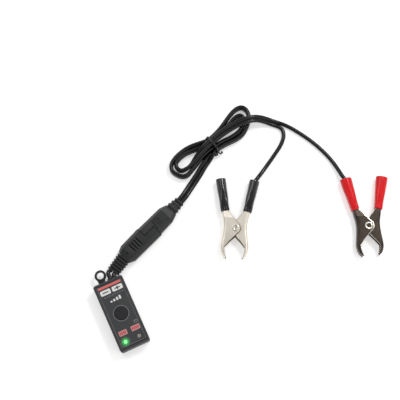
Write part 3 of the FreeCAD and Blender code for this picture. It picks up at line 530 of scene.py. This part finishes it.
def edgePath():
    # rows of (y, back x, front x): straight between the plan's points, round the pivot lobe, close in at the teeth
    y = np.unique(np.concatenate([np.linspace(*row) for row in clips["rows"]]))
    reach = clips["backSmoothing"]
    span = 2 * reach + 1
    back = np.interp(y, backEdge[:, 1], backEdge[:, 0])
    back = np.convolve(np.pad(back, reach, mode="edge"), np.ones(span) / span, mode="valid")
    lobe = np.sqrt(np.maximum(clips["lobe"] ** 2 - y ** 2, 0.0))
    front = np.where(y < 0, np.interp(y, frontEdge[:, 1], frontEdge[:, 0]),
                     np.interp(y, handleFront[:, 1], handleFront[:, 0]))
    front = np.where(np.abs(y) < clips["lobeReach"], lobe, front)
    return y, back, np.maximum(front, back + clips["leastWidth"])


def channel(half):
    # half a clip: at each y a U-shaped path goes along the upper cheek from its front edge to the back,
    # turns down round a bend, runs down the back and comes forward along the lower cheek
    y, back, front = edgePath()
    height = np.interp(y, clips["slimming"], [half, clips["slimHalf"]])
    bend = np.minimum(clips["bend"], (front - back) * clips["bendShare"])
    arc = np.radians(np.linspace(90, 180, clips["arcPoints"]))
    share = np.linspace(0, 1, clips["cheekPoints"])[:, None]
    start = back + bend
    topX = front + (start - front) * share[:-1]
    topZ = np.broadcast_to(height, topX.shape)
    arcX = start + bend * np.cos(arc)[:, None]
    arcZ = height - bend + bend * np.sin(arc)[:, None]
    x = np.r_[topX, arcX, arcX[::-1], topX[::-1]]
    z = np.r_[topZ, arcZ, -arcZ[::-1], -topZ[::-1]]
    return np.stack([x, np.broadcast_to(y, x.shape), z + clips["middle"]], axis=-1)


def onSide(points, side, clip):
    # a left-hand shape brought to its side, its handle closed in, and put on its clip's place
    p = points.copy()
    if side > 0:
        p[..., 0] = -p[..., 0]
    p = placed(p, (0, 0), clip["close"] if side > 0 else -clip["close"])
    return placed(p, clip["place"], clip["turn"])


def applyModifiers(piece):
    # the piece's mesh is replaced by the shape that its modifiers give
    scene.view_layers[0].update()
    shown = piece.evaluated_get(bpy.context.evaluated_depsgraph_get())
    mesh = bpy.data.meshes.new_from_object(shown)
    piece.modifiers.clear()
    piece.data = mesh


def rivetCutter(clip):
    # a round bar through both cheeks at the pivot
    count = 40
    t = allRound(count)
    ring = np.c_[clips["hole"] * np.cos(t), clips["hole"] * np.sin(t)]
    rows = np.stack([np.c_[ring, np.full(count, z)] for z in clips["holeDepth"]])
    return addMesh("rivetCutter", metres(placed(rows, clip["place"], clip["turn"])), capped(2, count), paleMetalAndRimHighlight)


def makeHalf(colour, kind, side):
    # a pressed sheet channel with the rivet's hole cut through it; the left half is the wide outer one
    clip = clips[colour]
    grid = channel(clips["slimHalf"] if side > 0 else clips["wideHalf"])
    grid = metres(onSide(grid, side, clip))
    faces = gridFaces(grid.shape[0], grid.shape[1], closedRow=False)
    if side > 0:
        faces = [f[::-1] for f in faces]
    node = colour + "_" + kind + "_half"
    piece = addMesh(node + "_sheet", grid, faces, clip["plate"])
    piece.data.materials.append(clip["edge"])
    # the outermost strip of each cheek takes the edge colour: painted shade on the black clip, pale metal with
    # painted highlight on the red
    strip = np.zeros((grid.shape[0] - 1, grid.shape[1] - 1), int)
    strip[[0, -1]] = 1
    piece.data.polygons.foreach_set("material_index", strip.ravel())
    wall = piece.modifiers.new("wall", "SOLIDIFY")
    wall.thickness = clips["sheet"] * mm
    wall.offset = -1
    # the sheet's cut rims, and below them its rounded edges, take the same painted edge colour
    wall.material_offset_rim = 1
    cutter = rivetCutter(clip)
    hole = piece.modifiers.new("hole", "BOOLEAN")
    hole.operation = "DIFFERENCE"
    hole.solver = "EXACT"
    hole.object = cutter
    edges = piece.modifiers.new("edges", "BEVEL")
    edges.width = clips["paintedEdgeBand"] * mm
    edges.segments = 2
    edges.material = 1
    edges.limit_method = "ANGLE"
    edges.angle_limit = math.radians(50)
    applyModifiers(piece)
    bpy.data.objects.remove(cutter)
    piece.data.set_sharp_from_angle(angle=math.radians(40))
    standsFor(piece, node)


for colour in ("black", "red"):
    fixedSide = clips[colour]["fixedSide"]
    makeHalf(colour, "fixed", fixedSide)
    makeHalf(colour, "moving", -fixedSide)
print("clip halves pressed")


sleeves = {
    "base": (-8.2, 12.2),
    "tilt": 12.0,             # degrees each handle leans out
    "length": 24.2,
    "red": {"neck": (5.8, 6.9), "mouth": (8.6, 8.2), "crease": 0.1, "ripple": 0.014},
    "black": {"neck": (6.4, 6.9), "mouth": (7.5, 7.9), "crease": 0.15, "ripple": 0.035},
    # each dent's angle round the sleeve, its drift per millimetre, its spread and its share of the crease
    "dents": [(1.25, 0.05, 0.22, 1.0), (2.1, -0.06, 0.2, 0.8), (4.4, 0.04, 0.25, 0.7)],
    "dentReach": 11.0,
    "squareness": (4.2, 2.2, 1.4),    # superellipse power at the neck, its fall, and how fast it falls
    "wall": 0.7,
    "mouthDepth": 8.0,
    "rings": 44,
}


def makeSleeve(colour, kind, side):
    # rings along the handle, each a superellipse that goes from nearly square at the neck to round at the mouth;
    # slanting dents fade out half way up, and the wall turns back inside the mouth
    clip = clips[colour]
    shape = sleeves[colour]
    length, wall, rings = sleeves["length"], sleeves["wall"], sleeves["rings"]
    around = 56
    t = allRound(around)[None, :]
    outerRun = np.r_[0.0, 0.25, np.linspace(0.7, length - 0.3, rings), length]
    innerRun = np.r_[length, length - 0.4, length - sleeves["mouthDepth"]]
    run = np.r_[outerRun, innerRun][:, None]
    share = run / length
    blend = share * share * (3 - 2 * share)
    width = shape["neck"][0] + (shape["mouth"][0] - shape["neck"][0]) * blend
    height = shape["neck"][1] + (shape["mouth"][1] - shape["neck"][1]) * blend
    inset = np.r_[0.45, 0.12, np.zeros(rings), 0.12, wall, wall, wall + 0.2][:, None]
    square, fall, speed = sleeves["squareness"]
    u, v = squarish(t, 2 / (square - fall * np.clip(share * speed, 0, 1)))
    fade = np.clip(1 - run / sleeves["dentReach"], 0, 1) ** 1.5
    dent = sum(depth * np.exp(-((t - angle - drift * run) / spread) ** 2)
               for angle, drift, spread, depth in sleeves["dents"])
    swell = 1 - shape["crease"] * fade * dent + shape["ripple"] * np.sin(3 * t + run * 0.5) * (1 - share)
    x = (width / 2 - inset) * u * swell
    z = (height / 2 - inset) * v * swell
    lean = math.radians(sleeves["tilt"])
    outward = np.array([-math.cos(lean), -math.sin(lean)])
    upward = np.array([-math.sin(lean), math.cos(lean)])
    plan = sleeves["base"] + x[..., None] * outward + np.broadcast_to(run, x.shape)[..., None] * upward
    grid = np.concatenate([plan, (z + clips["middle"])[..., None]], axis=-1)
    grid = metres(onSide(grid, side, clip))
    faces = capped(grid.shape[0], around)
    if side > 0:
        faces = [f[::-1] for f in faces]
    node = colour + "_" + kind + "_sleeve"
    piece = addMesh(node + "_skin", grid, faces, clip["vinyl"])
    recalculated(piece)
    standsFor(piece, node)


rivets = {
    # the red core's dark nickel is painted shade down the bore; the black core is the head's pale metal
    "red": {"outer": 2.95, "hole": 1.5, "core": (1.0, 6.9), "coreColour": darkNickel},
    "black": {"outer": 2.7, "hole": 0.8, "core": (1.0, 7.7), "coreColour": paleMetalAndRimHighlight},
    "rise": 0.42,
    "shank": 2.2,
    "low": 0.0,
    "top": 8.0,
}


def makeRivet(colour):
    # a turned profile of radius and depth: rolled flange over the upper cheek, shank, and the same flange below;
    # the shank's bore is closed part way down by a plug, dark on the red clip as painted shade in the bore
    clip = clips[colour]
    rivet = rivets[colour]
    outer, bore, rise = rivet["outer"], rivet["hole"], rivets["rise"]
    rolled = np.array([(bore, 0.5), (bore + 0.12, 0.16), (bore + 0.4, 0.0), (outer - 0.5, 0.02),
                       (outer - 0.12, 0.12), (outer, rise), (rivets["shank"], rise + 0.02)])
    upper = np.c_[rolled[:, 0], rivets["top"] - rolled[:, 1]]
    lower = np.c_[rolled[:, 0], rivets["low"] + rolled[:, 1]][::-1]
    middle = [(bore, clips["middle"])]
    profile = np.r_[middle, upper, lower, middle]
    around = 48
    t = allRound(around)
    rows = np.stack([np.outer(profile[:, 0], np.cos(t)), np.outer(profile[:, 0], np.sin(t)),
                     np.outer(profile[:, 1], np.ones(around))], axis=-1)
    piece = addMesh(colour + "_rivet", metres(placed(rows, clip["place"], clip["turn"])),
                    gridFaces(len(rows), around), paleMetalAndRimHighlight)
    recalculated(piece, merge=0.001)
    ring = np.c_[(bore + 0.05) * np.cos(t), (bore + 0.05) * np.sin(t)]
    core = np.stack([np.c_[ring, np.full(around, z)] for z in rivet["core"]])
    plug = addMesh(colour + "_rivet_core", metres(placed(core, clip["place"], clip["turn"])), capped(2, around),
                   rivet["coreColour"], smooth=False)
    recalculated(plug)
    node = colour + "_eyelet"
    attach(plug, bodyOf(node))
    standsFor(piece, node)


for colour in ("black", "red"):
    fixedSide = clips[colour]["fixedSide"]
    makeSleeve(colour, "fixed", fixedSide)
    makeSleeve(colour, "moving", -fixedSide)
    makeRivet(colour)
    coat(colour + "_spring", springSteel)
print("sleeves dipped and rivets set")


# ---- printed face of the tester ----

tester = {
    "place": (-85.4, -36.7),
    "turn": 24.5,
    "labelTop": 10.7,
    "labelHalf": (9.9, 23.4),
    "inkFoot": 0.002,            # where the print starts, over the film
    "ink": 0.03,                 # how far one layer of it stands up
    "lit": (-5.1, -19.5),
    "dark": (5.1, -19.5),
    "lamp": {"radius": 1.48, "foot": 8.2, "rim": 0.25, "rise": 0.75, "full": 0.98},    # rim: below the label
    "spill": {"disc": 4.4, "full": 1.3, "none": 3.8},    # radii of the light spilt on the film
}

labelFilm = plainPlastic("printed polyester film", "#3a3b3c", "#414243", 0.42, 0.25, 0.01)    # flat satin print
# black for the printed signs, and for the frame of painted shade round the label
blackInkAndShade = plainPlastic("black screen ink and painted recess shade", "#121213", "#18181a", 0.5, 0.25, 0.01)
lineInk = plainPlastic("grey screen ink", "#77787a", "#828385", 0.5, 0.25, 0.01)
whiteInk = plainPlastic("white screen ink", "#dcdcda", "#ececea", 0.45, 0.25, 0.01)
salmonInk = plainPlastic("salmon screen ink", "#d95f5b", "#e57470", 0.45, 0.25, 0.01)
blushInk = plainPlastic("blush screen ink", "#b98684", "#c99694", 0.45, 0.25, 0.01)
redInk = plainPlastic("red screen ink", "#c2343c", "#cf444b", 0.45, 0.25, 0.01)

# marks on the face as sides x0, x1, y0, y1 from the face's middle, and a corner radius where there is one
facePrint = {
    "border": (0.0, 0.55),    # a black frame of painted recess shade: how far in from the label's sides, and how wide
    "borderLine": (0.85, 0.22),
    "stripe": [(-8.3, 8.6, 20.6, 22.2)],
    "plates": [(-8.0, -0.5, 15.9, 19.5, 0.8), (0.7, 8.5, 15.9, 19.5, 0.8)],
    "signs": [(-6.4, -2.1, 17.35, 18.05), (2.6, 6.6, 17.35, 18.05), (4.25, 4.95, 16.4, 17.35),
              (4.25, 4.95, 18.05, 19.0)],
    "dots": [(-6.6 + 1.9 * i, -5.6 + 1.9 * i, 13.9, 14.5, 0.25) for i in range(8)],
    "bars": [(-3.6 + 2.2 * i, -2.2 + 2.2 * i, 9.6, 10.6 + 0.55 * i, 0.2) for i in range(4)],
    "ring": (5.25, 5.6),
    "results": {"left": (-7.3, -1.2), "right": (1.9, 8.3)},
    "resultRows": (-14.9, -11.3, -14.1, -12.1),    # each plate's lower and upper side, then its bars' sides
    "resultBars": (0.6, 1.4, 0.1, 0.35),           # first inset, both insets, extra pitch and gap
    "resultCorner": 0.5,
    "battery": (5.6, 8.4, -9.9, -8.3, 0.35),
    "terminals": [(6.1, 6.7, -8.3, -7.9), (7.3, 7.9, -8.3, -7.9)],
}


def box(x0, x1, y0, y1, corner=0.0):
    # a rectangle's outline with each corner a quarter circle
    if corner <= 0:
        return np.array([(x0, y0), (x1, y0), (x1, y1), (x0, y1)], float)
    points = []
    for cx, cy, start in ((x1 - corner, y1 - corner, 0), (x0 + corner, y1 - corner, 90),
                          (x0 + corner, y0 + corner, 180), (x1 - corner, y0 + corner, 270)):
        a = np.radians(np.linspace(start, start + 90, 5))
        points.append(np.c_[cx + corner * np.cos(a), cy + corner * np.sin(a)])
    return np.concatenate(points)


def frameStrips(x0, x1, y0, y1, wide):
    # four strips that make a frame, its outer edge at the given sides
    return [box(x0, x1, y0, y0 + wide), box(x0, x1, y1 - wide, y1),
            box(x0, x0 + wide, y0 + wide, y1 - wide), box(x1 - wide, x1, y0 + wide, y1 - wide)]


def printMarks(name, outlines, ink, layer=1):
    # each outline raised into a thin closed plate on the face, one or more layers of ink high
    low = tester["labelTop"] + tester["inkFoot"]
    high = tester["labelTop"] + tester["ink"] * layer
    points, faces = [], []
    for outline in outlines:
        n, first = len(outline), len(points)
        points += [(x, y, low) for x, y in outline] + [(x, y, high) for x, y in outline]
        faces.append([first + n + i for i in range(n)])
        faces.append([first + i for i in range(n)][::-1])
        faces += [[first + i, first + (i + 1) % n, first + n + (i + 1) % n, first + n + i] for i in range(n)]
    piece = addMesh(name, metres(placed(points, tester["place"], tester["turn"])), faces, ink, smooth=False)
    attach(piece, "tester")


def makePrint():
    w, h = tester["labelHalf"]
    # the black frame is painted shade where the label's edge meets the recess wall
    for name, key, ink in (("recess_shade_frame", "border", blackInkAndShade), ("border_line", "borderLine", lineInk)):
        inset, wide = facePrint[key]
        printMarks(name, frameStrips(inset - w, w - inset, inset - h, h - inset, wide), ink)
    # stripe, the minus and plus signs on their plates, a row of dots and a rising row of charge bars
    for name, key, ink, layer in (("stripe_print", "stripe", salmonInk, 1.5),
                                  ("terminal_plates", "plates", whiteInk, 1.5),
                                  ("terminal_signs", "signs", blackInkAndShade, 2),
                                  ("dot_row", "dots", lineInk, 1), ("charge_bars", "bars", whiteInk, 1.5)):
        printMarks(name, [box(*mark) for mark in facePrint[key]], ink, layer)
    turns = allRound(72)
    ring = np.c_[np.cos(turns), np.sin(turns)]
    inner, outer = facePrint["ring"]
    strips = [np.array([outer * a, outer * b, inner * b, inner * a])
              for a, b in zip(ring, np.roll(ring, -1, axis=0))]
    printMarks("button_ring", strips, lineInk)
    # result plates over the lamps, with bars in place of words
    low, high, barLow, barHigh = facePrint["resultRows"]
    first, insets, extra, gap = facePrint["resultBars"]
    for name, (x0, x1) in facePrint["results"].items():
        printMarks(name + "_result_plate", [box(x0, x1, low, high, facePrint["resultCorner"])], blushInk, 1.5)
        pitch = (x1 - x0 - insets) / 4
        lefts = [x0 + first + i * (pitch + extra) for i in range(4)]
        printMarks(name + "_result_bars", [box(x, x + pitch - gap, barLow, barHigh) for x in lefts], redInk, 2)
    # small battery sign beside the results
    terminals = [box(*mark) for mark in facePrint["terminals"]]
    printMarks("battery_sign", frameStrips(*facePrint["battery"]) + terminals, lineInk, 1.5)


def lampMaterial(name, core, rim, glow):
    # clear epoxy lens: brighter at the middle, where the die sits, and tinted towards its rim
    material, tree, shader = newMaterial(name)
    facing = addNode(tree, "ShaderNodeLayerWeight", {"Blend": 0.35})
    shade = between(tree, facing.outputs["Facing"], core, rim)
    setShader(shader, Base_Color=shade, Roughness=0.12, IOR=1.5, Coat_Weight=0.6, Emission_Strength=glow)
    if glow:
        setShader(shader, Emission_Color=shade)
    return material


def makeLamp(name, spot, material, node):
    # a dome on a short straight wall: its height is the root of one less the square of the share of the radius
    lamp = tester["lamp"]
    rings, around = 10, 32
    share = np.linspace(0.02, 1, rings)[:, None]
    t = allRound(around)[None, :]
    x = spot[0] + lamp["radius"] * share * np.cos(t)
    y = spot[1] + lamp["radius"] * share * np.sin(t)
    z = tester["labelTop"] - lamp["rim"] + lamp["rise"] * np.sqrt(1 - lamp["full"] * share ** 2)
    dome = np.stack([x, y, np.broadcast_to(z, x.shape)], axis=-1)
    wall = np.stack([x[-1], y[-1], np.full(around, lamp["foot"])], axis=-1)[None]
    rows = np.concatenate([dome, wall])
    points = metres(placed(rows, tester["place"], tester["turn"]))
    piece = addMesh(name, points, capped(len(rows), around), material)
    recalculated(piece)
    standsFor(piece, node)


def makeGlow():
    # light spilt on the face: a thin disc whose glow falls off with distance from the lamp
    spot, spill = tester["lit"], tester["spill"]
    middle = metres(placed([(*spot, tester["labelTop"])], tester["place"], tester["turn"]))[0]
    material, tree, shader = newMaterial("film lit by the lamp")
    off = addNode(tree, "ShaderNodeVectorMath", {0: objectPlace(tree), 1: tuple(middle)}, operation="DISTANCE")
    fall = addNode(tree, "ShaderNodeMapRange", {"Value": off.outputs["Value"], "From Min": spill["full"] * mm,
                                               "From Max": spill["none"] * mm, "To Min": 1.0, "To Max": 0.0},
                   interpolation_type="SMOOTHERSTEP").outputs["Result"]
    setShader(shader, Base_Color=between(tree, fall, "#3e3f40", "#2f9a48"), Roughness=0.45,
              Emission_Color=between(tree, fall, "#000000", "#2fae4e"), Emission_Strength=0.36)
    t = allRound(48)
    disc = np.c_[spot[0] + spill["disc"] * np.cos(t), spot[1] + spill["disc"] * np.sin(t)]
    printMarks("lamp_spill", [disc], material, 0.6)


# ---- connector: painted shade in the parting line, grip slots and relief grooves ----

connector = {
    "place": (-93.3, -5.6),
    "turn": 46.4,
    "middle": 4.5,
    "height": 9.0,
    "side": 3.6,
    "flatShare": 0.68,
    "faces": (33.85, 43.15),    # where the left and the right mating faces stand
    "faceWidths": (14.97, 15.3),
    "seam": 0.55,
    "proud": 0.03,              # how far the bands of painted shade stand out of the skin
    "clear": 0.02,              # how far short of a mating face they stop
    "dimple": (16.0, 0.6),      # where the gate mark stands, and its radius
    "slotDepth": 0.5,
    "slot": (0.6, 6.4),
    "shadeSheet": 0.1,
    "slots": {"tester": (21.2, 23.5, 25.8, 28.1), "lead": ()},
    "reliefs": {"tester": {"start": 12.8, "way": -1, "length": 12.8, "end": 9.2, "bend": 7.0, "grooves": 5},
                "lead": {"start": 59.3, "way": 1, "length": 10.4, "end": 7.2, "bend": 0.0, "grooves": 4}},
    "neck": (10.3, 6.6),
    "endHeight": 5.0,
    "rib": 1.3,
    "grooveDepth": 0.6,
    "shadeLift": 0.03,          # how far a groove's sheet of painted shade stands off its floor
    "chamfer": (0.55, 0.44),    # the relief's slopes take this share of its height across, and leave this upright
}


def eightSided(width, height, flat, side):
    # a chamfered section from its full width and height, its flat top and its upright side
    return np.array([(-flat, -height), (flat, -height), (width, -side), (width, side),
                     (flat, height), (-flat, height), (-width, side), (-width, -side)]) / 2


def slab(ring, x0, x1):
    # a solid with the same outline from x0 to x1
    return np.concatenate([np.c_[np.full(len(ring), x), ring] for x in (x0, x1)])


def halfPlate(side, width):
    # the half of the body's section on one side, a hair proud of its skin
    w, h = width / 2 + connector["proud"], connector["height"] / 2 + connector["proud"]
    flat, low = connector["flatShare"] * width / 2, connector["side"] / 2
    ring = np.array([(0, -h), (flat, -h), (w, -low), (w, low), (flat, h), (0, h)])
    return ring * (side, 1) if side > 0 else (ring * (side, 1))[::-1]


def paintedGrooveShade(relief):
    # dark bands of painted shade on the floor of each groove of a strain relief
    c = connector
    pitch = (relief["length"] - c["rib"]) / relief["grooves"]
    lean = math.radians(relief["bend"])
    slabs = []
    for i in range(relief["grooves"]):
        rings = []
        for x in (i * pitch + c["rib"], (i + 1) * pitch):
            share = x / relief["length"]
            width = c["neck"][0] + (relief["end"] - c["neck"][0]) * share
            height = c["neck"][1] + (c["endHeight"] - c["neck"][1]) * share
            skin = 2 * (c["grooveDepth"] - c["shadeLift"])
            width, height = width - skin, height - skin
            slope, upright = c["chamfer"]
            ring = eightSided(width, height, width - height * slope, height * upright)
            x, y = relief["way"] * x, ring[:, 0]
            rings.append(np.c_[x * math.cos(lean) - y * math.sin(lean), x * math.sin(lean) + y * math.cos(lean),
                               ring[:, 1]] + (relief["start"], 0, 0))
        slabs.append(np.concatenate(rings))
    return slabs


def makeConnectorShade(half):
    c = connector
    # dark sheets of painted shade in the grooves and slots; on the tester's half also painted shade in the two
    # mating lines, their step and a gate mark
    slabs = paintedGrooveShade(c["reliefs"][half])
    top = c["height"] / 2
    long, wide = c["slot"]
    for x in c["slots"][half]:
        for z in (top - c["slotDepth"] - c["shadeSheet"], c["shadeSheet"] / 2 - top):
            flat = box(-wide / 2, wide / 2, z, z + c["shadeSheet"])
            slabs.append(slab(flat, x - long / 2, x + long / 2))
    if half == "tester":
        left, right = c["faces"]
        for side, face, width in ((1, left, c["faceWidths"][0]), (-1, right, c["faceWidths"][1])):
            ring = halfPlate(side, width)
            slabs.append(slab(ring, face - c["seam"], face - c["clear"]))
        h = top + c["proud"]
        ring = box(-c["seam"], -c["proud"], -h, h)
        slabs.append(slab(ring, left - c["seam"], right - c["clear"]))
        x, radius = c["dimple"]
        disc = box(-radius, radius, top - c["slotDepth"] - c["shadeSheet"], top - c["slotDepth"])
        slabs.append(slab(disc, x - radius, x + radius))
    points, faces = [], []
    for one in slabs:
        n = len(one) // 2
        faces += [[len(points) + i for i in face] for face in capped(2, n)]
        points += (one + (0, 0, c["middle"])).tolist()
    piece = addMesh(half + "_plug_painted_shade", metres(placed(points, c["place"], c["turn"])), faces, partingShadow,
                    smooth=False)
    recalculated(piece)
    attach(piece, half)


for half in ("tester", "lead"):
    makeConnectorShade(half)
coat("face_label", labelFilm)
makePrint()
makeGlow()
litLens = lampMaterial("lit green lamp lens", "#8dfc9c", "#0fa82e", 0.5)
darkLens = lampMaterial("unlit lamp lens", "#8d8480", "#5b5552", 0.0)
makeLamp("lit_lamp_lens", tester["lit"], litLens, "green_lamp")
makeLamp("dark_lamp_lens", tester["dark"], darkLens, "red_lamp")
print("face printed and lamps fitted")


twinFlex, twinLine = makeTwin()
hankTie = makeTie()
for colour in ("black", "red"):
    makeLead(colour)
print("cords laid, twin flex", round(pathLength(twinLine), 3))


# ---- camera ----

camera = {
    "target": (-30.6, 47.0, 0.0),    # layout millimetres
    "elevation": 76.0,
    "distance": 0.687,
    "lens": 85.0,
}


def makeCamera():
    target = metres(camera["target"])
    tilt = math.radians(camera["elevation"])
    data = bpy.data.cameras.new("camera")
    data.lens = camera["lens"]
    data.clip_start = 0.01
    eye = bpy.data.objects.new("camera", data)
    eye.location = target + camera["distance"] * np.array([0, -math.cos(tilt), math.sin(tilt)])
    eye.rotation_euler = (math.radians(90) - tilt, 0, 0)
    scene.collection.objects.link(eye)
    scene.camera = eye


# ---- floor and light ----

studio = {
    "floor": "#eeeeed",
    "halfSize": 1.6,
    "floorDepth": 0.0002,
    "floorLift": 0.42,    # the table's own light on the rays that are seen
    "ambient": 0.45,      # the room's light on the object
    "roomLow": 0.9,       # the room as seen in gloss, level and overhead
    "roomHigh": 0.3,
    "lights": [           # name, place, size, watts, aim
        ("key light", (-0.35, 0.45, 0.8), (0.5, 0.5), 1.5, (0, 0, 0)),
        ("fill light", (0.6, -0.3, 0.7), (0.6, 0.6), 1.5, (0, 0, 0)),
        ("strip light", (0.36, 0.46, 0.8), (0.3, 0.16), 3.0, (0, 0.05, 0)),
    ],
}


def areaLight(name, place, size, watts, aim):
    # a rectangular lamp turned from its place towards its aim
    data = bpy.data.lights.new(name, "AREA")
    data.shape = "RECTANGLE"
    data.size, data.size_y = size
    data.energy = watts
    lamp = bpy.data.objects.new(name, data)
    lamp.location = place
    way = np.array(aim, float) - np.array(place, float)
    yaw = math.atan2(way[0], -way[1])
    pitch = math.atan2(math.hypot(way[0], way[1]), -way[2])
    lamp.rotation_euler = (pitch, 0, yaw + math.pi)
    scene.collection.objects.link(lamp)


def seenRays(tree):
    # 1 on camera, glossy and transmission rays, 0 on the rays that light the object
    ray = addNode(tree, "ShaderNodeLightPath")
    seen = addNode(tree, "ShaderNodeMath", {0: ray.outputs["Is Camera Ray"], 1: ray.outputs["Is Glossy Ray"]},
                   operation="MAXIMUM")
    return addNode(tree, "ShaderNodeMath", {0: seen.outputs["Value"], 1: ray.outputs["Is Transmission Ray"]},
                   operation="MAXIMUM").outputs["Value"]


def makeStudio():
    size = studio["halfSize"]
    corners = [(-size, -size, 0), (size, -size, 0), (size, size, 0), (-size, size, 0)]
    material, tree, shader = newMaterial("pale matte table")
    lift = addNode(tree, "ShaderNodeMath", {0: seenRays(tree), 1: studio["floorLift"]}, operation="MULTIPLY")
    setShader(shader, Base_Color=linearColour(studio["floor"]), Roughness=0.9, Specular_IOR_Level=0.1,
              Emission_Color=(1, 1, 1, 1), Emission_Strength=lift.outputs["Value"])
    corners = np.array(corners) - [0, 0, studio["floorDepth"]]
    floor = addMesh("floor", corners, [[0, 1, 2, 3]], material, smooth=False)
    world = bpy.data.worlds.new("studio")
    world.use_nodes = True
    tree = world.node_tree
    tree.nodes.clear()
    # the room seen in gloss is paler low down than overhead, so upright edges read on dark pieces
    way = addNode(tree, "ShaderNodeTexCoord").outputs["Generated"]
    height = addNode(tree, "ShaderNodeSeparateXYZ", {"Vector": way})
    room = addNode(tree, "ShaderNodeMapRange", {"Value": height.outputs["Z"], "From Min": 0.1, "From Max": 0.95,
                                               "To Min": studio["roomLow"], "To Max": studio["roomHigh"]})
    strength = addNode(tree, "ShaderNodeMix", {"Factor": seenRays(tree), "A": studio["ambient"],
                                              "B": room.outputs["Result"]}, data_type="FLOAT")
    sky = addNode(tree, "ShaderNodeBackground", {"Color": (1, 1, 1, 1), "Strength": strength.outputs["Result"]})
    out = addNode(tree, "ShaderNodeOutputWorld", {"Surface": sky.outputs["Background"]})
    tree.nodes.active = out
    scene.world = world
    for light in studio["lights"]:
        areaLight(*light)
    scene.view_settings.view_transform = "Standard"


makeCamera()
makeStudio()
print("camera and light set")
